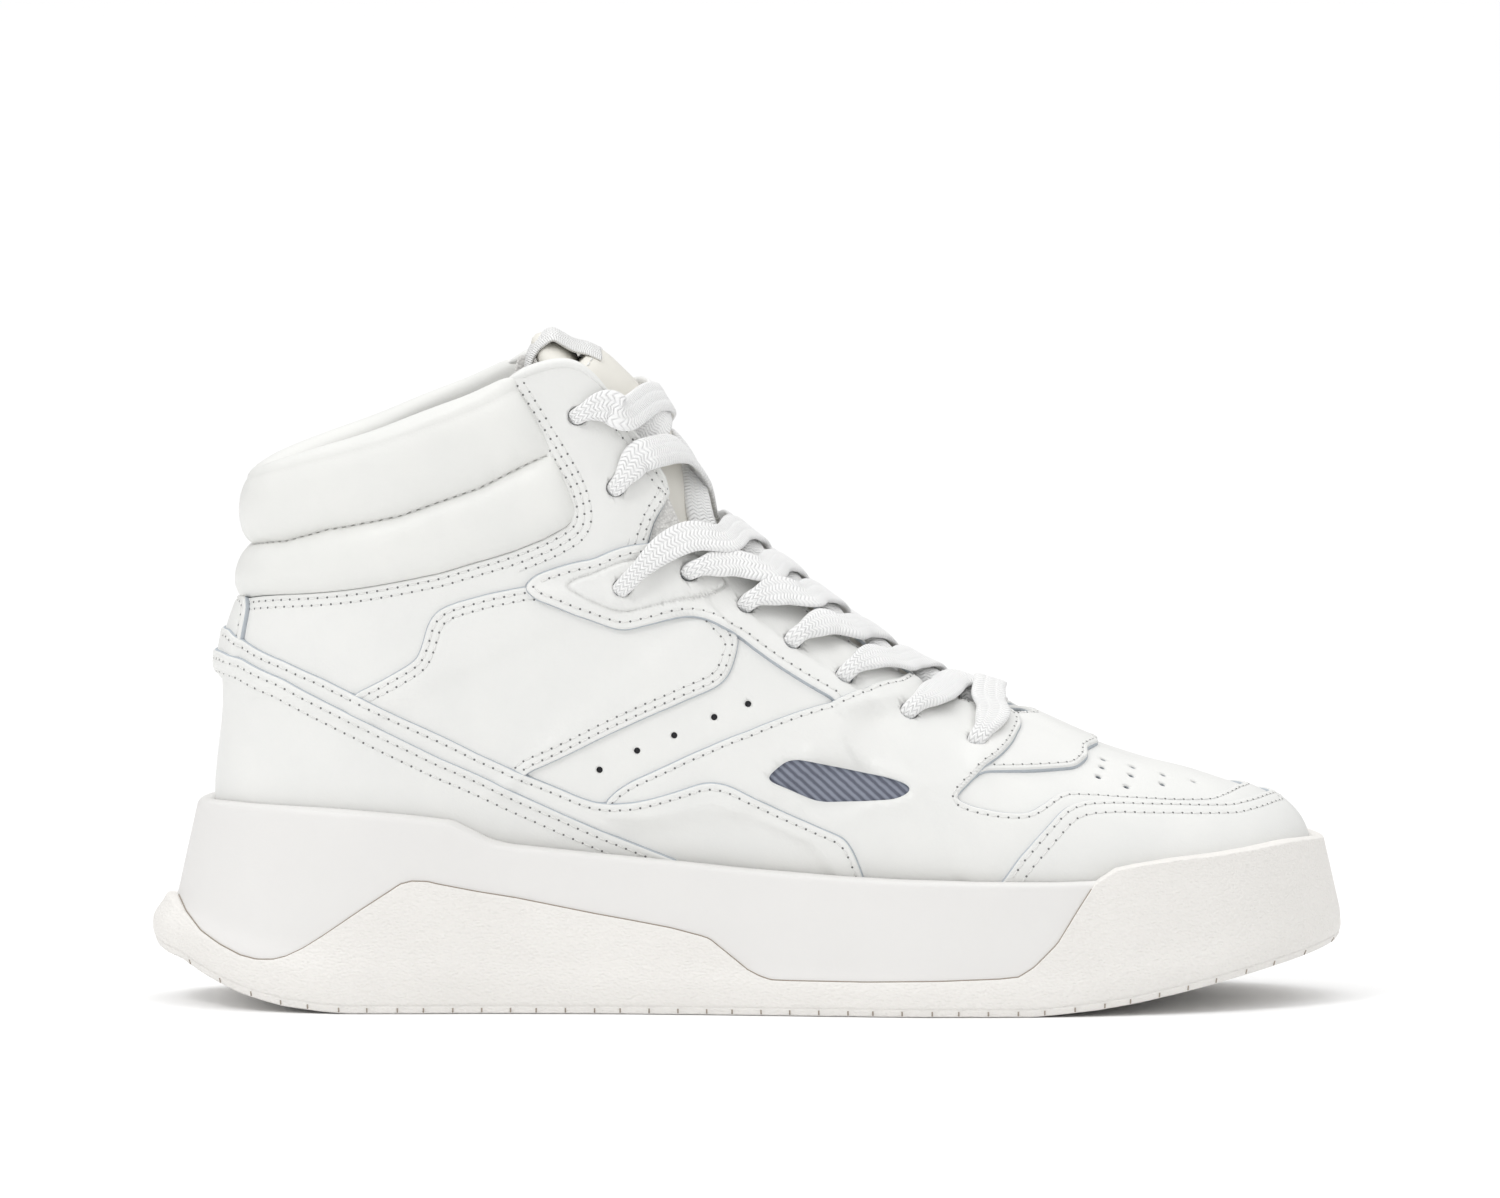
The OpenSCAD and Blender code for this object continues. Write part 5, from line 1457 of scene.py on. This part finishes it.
RUBBER_LINE = np.array([(-160, 31), (-148, 30.5), (-145, 26.5), (-140, 21.5), (-135, 18), (-130, 15.3),
                        (-126, 14.2), (-122, 14.2), (-119, 15), (-115, 17), (-110, 20.2), (-100, 27),
                        (-93, 31.5), (-90, 33.5), (-87, 34.3), (-83, 34.2), (-80, 33.5), (-70, 31.6),
                        (-60, 30), (-50, 28), (-40, 26), (-30, 24.2), (-20, 22.3), (-12, 20.2), (-10, 19.5),
                        (-5, 15.5), (0, 11.5), (3, 10), (6, 9), (10, 8.8), (30, 8.4), (50, 8.5), (65, 9),
                        (70, 9.5), (74, 12), (80, 18), (85, 26), (90, 33.5), (92, 60), (170, 60)], float)
FLARE, TOE_LIP, HEEL_LIP = 2.6, 1.9, 6.4
TREAD_PITCH, TREAD_DEPTH, TREAD_WIDTH = 7.3, 2.0, 0.95
TREAD_START = 3.0


def look(x, table):
    return np.interp(x, table[:, 0], table[:, 1])


def plan_half(s):
    i = np.clip(np.floor(s).astype(int), 0, LAST - 1)
    w = spline_weights(s - i)
    out = np.zeros(s.shape + (2,))
    for k in range(4):
        j = i + k - 1
        flip = (j < 0) | (j > LAST)
        j = np.where(j < 0, -j, np.where(j > LAST, TURN - j, j))
        p = SOLE_PLAN[j].copy()
        p[..., 1] *= np.where(flip, -1, 1)
        out += w[k][..., None] * p
    return out


def plan_at(u):
    u = np.mod(u, TURN)
    lateral = u <= LAST
    p = plan_half(np.where(lateral, u, TURN - u))
    p[..., 1] *= np.where(lateral, -1, 1)
    return p


def plan_out(u):
    d = plan_at(u + STEP) - plan_at(u - STEP)
    return unit(np.stack([d[..., 1], -d[..., 0]], -1))


def sole_columns(spacing):
    fine = np.linspace(0, LAST, 4000)
    p = plan_half(fine)
    run = run_length(p)
    n = int(run[-1] / spacing)
    s = np.interp(np.linspace(0, run[-1], n + 1), run, fine)
    return np.concatenate([s, (TURN - s)[1:-1][::-1]])


SHARE_V = np.linspace(0, 1, 101)
SHARE = blur(np.interp(SHARE_V, [0, 0.04, 0.1, 0.2, 0.32, 0.62, 1], [0.82, 0.95, 1, 1, 0.62, 0.35, 0]), 3.0)


def sole_column_data(u):
    p, o = plan_at(u), plan_out(u)
    lip = np.where(o[:, 0] > 0, TOE_LIP * o[:, 0], -HEEL_LIP * o[:, 0])
    edge = look(p[:, 0], SOLE_EDGE) - (SIGHT_Y - np.abs(p[:, 1])) * SIGHT_SLOPE
    bottom = look(p[:, 0] + 0.8 * (FLARE + lip) * o[:, 0], SOLE_BOTTOM)
    return p, o, lip, edge, bottom


def sole_wall(data, z, proud):
    """Points of the sidewall at heights z, one row of columns by levels."""
    p, o, lip, edge, bottom = data
    v = np.clip((z - bottom[:, None]) / (edge - bottom)[:, None], 0, 1)
    toe = np.clip(o[:, 0], 0, 1)[:, None]
    share = ((1 - toe) * np.interp(v, SHARE_V, SHARE)
             + toe * np.interp(v, [0, 0.05, 0.14, 0.3, 1], [0.7, 0.9, 1, 0.93, 0]))
    spread = (FLARE + lip)[:, None] * share + proud
    q = p[:, None] + spread[..., None] * o[:, None]
    return np.stack([q[..., 0], q[..., 1] + sway(q[..., 0]), z], -1)


def inset(data, distance, z):
    p, o = data[0], data[1]
    q = p - distance[:, None] * o
    return np.stack([q[:, 0], q[:, 1] + sway(q[:, 0]), z], -1)


def bridge(n, m, row, flip):
    """Quads across the shoe between mirrored columns of one row."""
    faces = []
    for i in range(n // 2):
        a, b, c, d = i, i + 1, n - i - 1, (n - i) % n
        quad = [a * m + row, b * m + row, c * m + row, d * m + row]
        quad = list(dict.fromkeys(quad))
        if len(quad) >= 3:
            faces.append(quad[::-1] if flip else quad)
    return faces


def top_place(u, z):
    """Row of the foundation at height z on column u."""
    t = np.linspace(0, 2.6, 60)
    out = np.zeros_like(u)
    for k, value in enumerate(u):
        out[k] = np.interp(z[k], foot(np.full_like(t, value), t)[:, 2], t)
    return out


def upper_height(u, t):
    s = np.where(u <= LAST, u, TURN - u)
    return sample(blur(heights, 1.0), s, t)


def midsole():
    u = sole_columns(1.7)
    data = sole_column_data(u)
    edge, bottom = data[3:]
    n = len(u)
    f = np.concatenate([np.linspace(0.06, 0.9, 26), [0.94, 0.965, 0.983, 0.995, 1.0]])
    z = bottom[:, None] + (edge - bottom)[:, None] * f
    rounding = 1.1 * (1 - np.sqrt(np.clip(1 - np.clip((f - 0.965) / 0.035, 0, 1) ** 2, 0, 1)))
    wall = sole_wall(data, z, -0.02 - rounding[None] + 0 * z)
    t_e = top_place(u, edge + 0.2)
    snug = skin(u, t_e, upper_height(u, t_e) + 0.25)
    lip_in = snug * 0.86 + wall[:, -1] * 0.14
    lip_in[:, 2] = edge + 0.15
    snug[:, 2] = edge - 0.35
    t_d = np.clip(t_e - 0.5, 0.05, None)
    deep = skin(u, t_d, upper_height(u, t_d) + 0.2)
    low = skin(u, np.full_like(u, 0.05), np.full_like(u, 0.0))
    low[:, 2] -= 1.0
    mid_top = (wall[:, -1] + lip_in) / 2
    mid_top[:, 2] = edge + 0.22
    rows = np.concatenate([wall, mid_top[:, None], lip_in[:, None], snug[:, None], deep[:, None],
                           low[:, None]], 1)
    m = rows.shape[1]
    faces = sheet_faces(n, m, closed=True).tolist() + bridge(n, m, 0, True) + bridge(n, m, m - 1, False)
    obj = mesh_piece("midsole_foam", rows.reshape(-1, 3), faces, [SOLE_FOAM])
    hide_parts("midsole", "cushion_core")


def rubber_line(data):
    """Where each column stands along the shoe, and how high the rubber reaches there."""
    p, o, lip = data[:3]
    wall_x = p[:, 0] + 0.6 * (FLARE + lip) * o[:, 0]
    return wall_x, look(wall_x, RUBBER_LINE) - (SIGHT_Y - np.abs(p[:, 1])) * SIGHT_SLOPE


def outsole():
    u = sole_columns(0.95)
    data = sole_column_data(u)
    _, o, lip, edge, bottom = data
    n = len(u)
    wall_x, line = rubber_line(data)
    full = line >= edge
    top = np.minimum(line, edge)
    near = np.array([0, 0.4, 0.8, 1.2, 1.5, 1.7, 1.95, 2.2, 2.5, 3.0, 3.6])
    f = np.linspace(0, 1, 22)[1:]
    height = (top - bottom)[:, None]
    z = np.concatenate([bottom[:, None] + near[None] + 0 * height,
                        bottom[:, None] + 3.6 + (height - 3.6 - 0.5) * f], 1)
    proud = 0.85 + 2.0 * np.clip(-o[:, 0], 0, 1) ** 3 * np.clip((wall_x + 150) / -2 + 3, 0, 1)
    out = np.repeat(proud[:, None], z.shape[1], 1)
    level = z - bottom[:, None]
    out = out - 0.3 * np.exp(-((level - 1.95) / 0.22) ** 2)
    phase = np.mod(wall_x + TREAD_START, TREAD_PITCH)
    cut = (phase < TREAD_WIDTH) & (np.abs(o[:, 1]) > 0.25)
    out = out - np.where(cut[:, None] & (level < 1.6), 0.15, 0)
    wall = sole_wall(data, z, out)
    z1 = top[:, None] + np.array([-0.36, -0.18, -0.06, 0.0])
    curve = proud[:, None] - 0.85 + 0.85 * np.array([1.0, 0.94, 0.76, 0.45])
    shoulder = sole_wall(data, z1, curve)
    t_e = top_place(u, edge + 0.3)
    snug = skin(u, t_e, upper_height(u, t_e) + 0.22)
    snug[:, 2] = edge - 0.1
    lip_in = snug * 0.8 + shoulder[:, -1] * 0.2
    lip_in[:, 2] = edge + 0.35
    outer_lip = snug * 0.3 + shoulder[:, -1] * 0.7
    outer_lip[:, 2] = edge + 0.45
    back = sole_wall(data, top[:, None] - 0.2, np.full((n, 1), -0.8))[:, 0]
    bond = [np.where(full[:, None], a, back) for a in (outer_lip, lip_in, snug)]
    deep = np.where(full[:, None], skin(u, np.clip(t_e - 0.5, 0.05, None),
                                        upper_height(u, np.clip(t_e - 0.5, 0.05, None)) + 0.2), back)
    foot_row = inset(data, np.full(n, 3.0), bottom + 6)
    core = inset(data, np.full(n, 9.0), bottom + 6)
    base = inset(data, -0.55 * (FLARE + lip) - 0.2, bottom)
    base[:, 2] += 0.02
    rim = inset(data, np.full(n, 2.0) - 0.3 * (FLARE + lip), bottom)
    rows = np.concatenate([rim[:, None], base[:, None], wall, shoulder, np.stack(bond + [deep], 1),
                           foot_row[:, None], core[:, None]], 1)
    m = rows.shape[1]
    verts = rows.reshape(-1, 3)
    faces = sheet_faces(n, m, closed=True).tolist() + bridge(n, m, m - 1, False)
    # the tread: a skin across the bottom with grooves from side to side
    across = 17
    tread, start = [], len(verts)
    for i in range(1, n // 2):
        a, b = rows[i, 0], rows[n - i, 0]
        w = np.linspace(0, 1, across + 2)[1:-1, None]
        line_points = a * (1 - w) + b * w
        depth = TREAD_DEPTH if np.mod(wall_x[i] + TREAD_START, TREAD_PITCH) < TREAD_WIDTH else 0.0
        line_points[:, 2] += depth
        tread.append(line_points)
    tread = np.concatenate(tread)
    verts = np.concatenate([verts, tread])

    def at_tread(i, k):
        if k == 0:
            return i * m
        if k == across + 1:
            return ((n - i) % n) * m
        return start + (i - 1) * across + k - 1

    for i in range(1, n // 2 - 1):
        for k in range(across + 1):
            faces.append([at_tread(i, k), at_tread(i, k + 1), at_tread(i + 1, k + 1), at_tread(i + 1, k)])
    faces.append([0] + [at_tread(1, k) for k in range(across + 1, -1, -1)])
    faces.append([at_tread(n // 2 - 1, k) for k in range(across + 2)] + [(n // 2) * m])
    obj = mesh_piece("outsole_rubber", verts, faces, [RUBBER])
    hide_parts("outsole")


def thin_tubes(name, paths, radius, material):
    """Thin lines along the sidewall."""
    verts, faces = [], []
    for path in paths:
        run = unit(np.gradient(path, axis=0))
        across = unit(np.cross(run, [0.13, 0.21, 1.0]))
        up = np.cross(run, across)
        start = len(verts)
        for p, a, b in zip(path, across, up):
            verts += [p + radius * (math.cos(k) * a + math.sin(k) * b)
                      for k in np.linspace(0, 2 * math.pi, 6)[:-1]]
        faces += tube_faces(len(path), 5, start)
    obj = mesh_piece(name, verts, faces, [material])


def sole_lines():
    """Painted shade: a dark line along the top edge of the rubber, and dark ticks at the ends of the tread
    grooves.
    """
    u = sole_columns(0.95)
    data = sole_column_data(u)
    p, o, _, edge, bottom = data
    wall_x, line = rubber_line(data)
    seam = sole_wall(data, np.minimum(line, edge)[:, None] + 0.1, np.full((len(u), 1), 0.12))[:, 0]
    kept, paths = (line < edge - 0.4) & (np.abs(o[:, 1]) > 0.15), []
    for side in (p[:, 1] < 0, p[:, 1] > 0):
        index = np.where(kept & side)[0]
        if len(index) > 3:
            paths.append(seam[index])
    thin_tubes("rubber_edge_painted_shade", paths, 0.17, STEP_SHADE)
    ticks = []
    phase = np.floor((wall_x + TREAD_START) / TREAD_PITCH)
    for i in np.where((phase != np.roll(phase, -1)) & (np.abs(o[:, 1]) > 0.2))[0]:
        level = bottom[i] + np.array([0.25, 0.8, 1.4])
        column = [a[i:i + 1] for a in data]
        ticks.append(sole_wall(column, level[None], np.full((1, 3), 0.9))[0])
    thin_tubes("tread_groove_painted_shade", ticks, 0.2, STEP_SHADE)


midsole()
outsole()
sole_lines()
stitch_mesh()

# ---------------------------------------------------- CAD nodes that stay as they are
KEPT = {"strobel_board": BOARD, "sockliner": TEXTILE, "heel_counter": BOARD, "toe_puff": BOARD,
        "aglets": PLASTIC}
for name, material in KEPT.items():
    kept_node = frame["nodes"][name]
    for obj in (kept_node if isinstance(kept_node, (list, tuple)) else [kept_node]):
        obj.data.materials.clear()
        obj.data.materials.append(material)

# ------------------------------------------------------------- camera and light
SIGHT = math.atan(SIGHT_SLOPE)
TARGET = Vector((0.0005, -0.045, 0.10745))
RANGE = 8.0
camera_data = bpy.data.cameras.new("camera")
camera = bpy.data.objects.new("camera", camera_data)
bpy.context.collection.objects.link(camera)
camera_data.sensor_width = 36
camera_data.lens = 36 * RANGE / 0.38775
camera.location = TARGET + RANGE * Vector((0, -math.cos(SIGHT), math.sin(SIGHT)))
camera.rotation_euler = (math.pi / 2 - SIGHT, 0, 0)
bpy.context.scene.camera = camera


def area_light(name, place, aim, size, power, colour=(1, 1, 1)):
    data = bpy.data.lights.new(name, "AREA")
    data.shape, data.size, data.size_y = "RECTANGLE", size[0], size[1]
    data.energy, data.color = power, colour
    lamp = bpy.data.objects.new(name, data)
    bpy.context.collection.objects.link(lamp)
    lamp.location = place
    lamp.rotation_euler = (Vector(aim) - Vector(place)).to_track_quat("-Z", "Y").to_euler()
    return lamp


area_light("key", (-0.9, -1.1, 1.5), (0, 0, 0.08), (0.6, 0.4), 8)
area_light("top", (0.2, 0.1, 1.7), (0, 0, 0.05), (1.0, 0.8), 2)

# a bright sky that falls off towards the horizon
world = bpy.data.worlds.new("studio")
bpy.context.scene.world = world
world.use_nodes = True
sky = world.node_tree
direction = node(sky, "ShaderNodeTexCoord")
parts = node(sky, "ShaderNodeSeparateXYZ")
sky.links.new(direction.outputs["Generated"], parts.inputs[0])
sky.links.new(spread(sky, parts.outputs["Z"], 0.30, 1.42), sky.nodes["Background"].inputs["Strength"])
sky.nodes["Background"].inputs["Color"].default_value = (1, 1, 1, 1)

floor_mesh = bpy.data.meshes.new("floor")
FLOOR_HALF, FLOOR_Z = 6, -0.0002
floor_corners = [(x * FLOOR_HALF, y * FLOOR_HALF, FLOOR_Z) for x, y in ((-1, -1), (1, -1), (1, 1), (-1, 1))]
floor_mesh.from_pydata(floor_corners, [], [(0, 1, 2, 3)])
floor = bpy.data.objects.new("floor", floor_mesh)
bpy.context.collection.objects.link(floor)
floor_mesh.materials.append(shader("studio_floor", (0.97, 0.97, 0.97), 0.9)[0])

bpy.context.scene.view_settings.view_transform = "Standard"
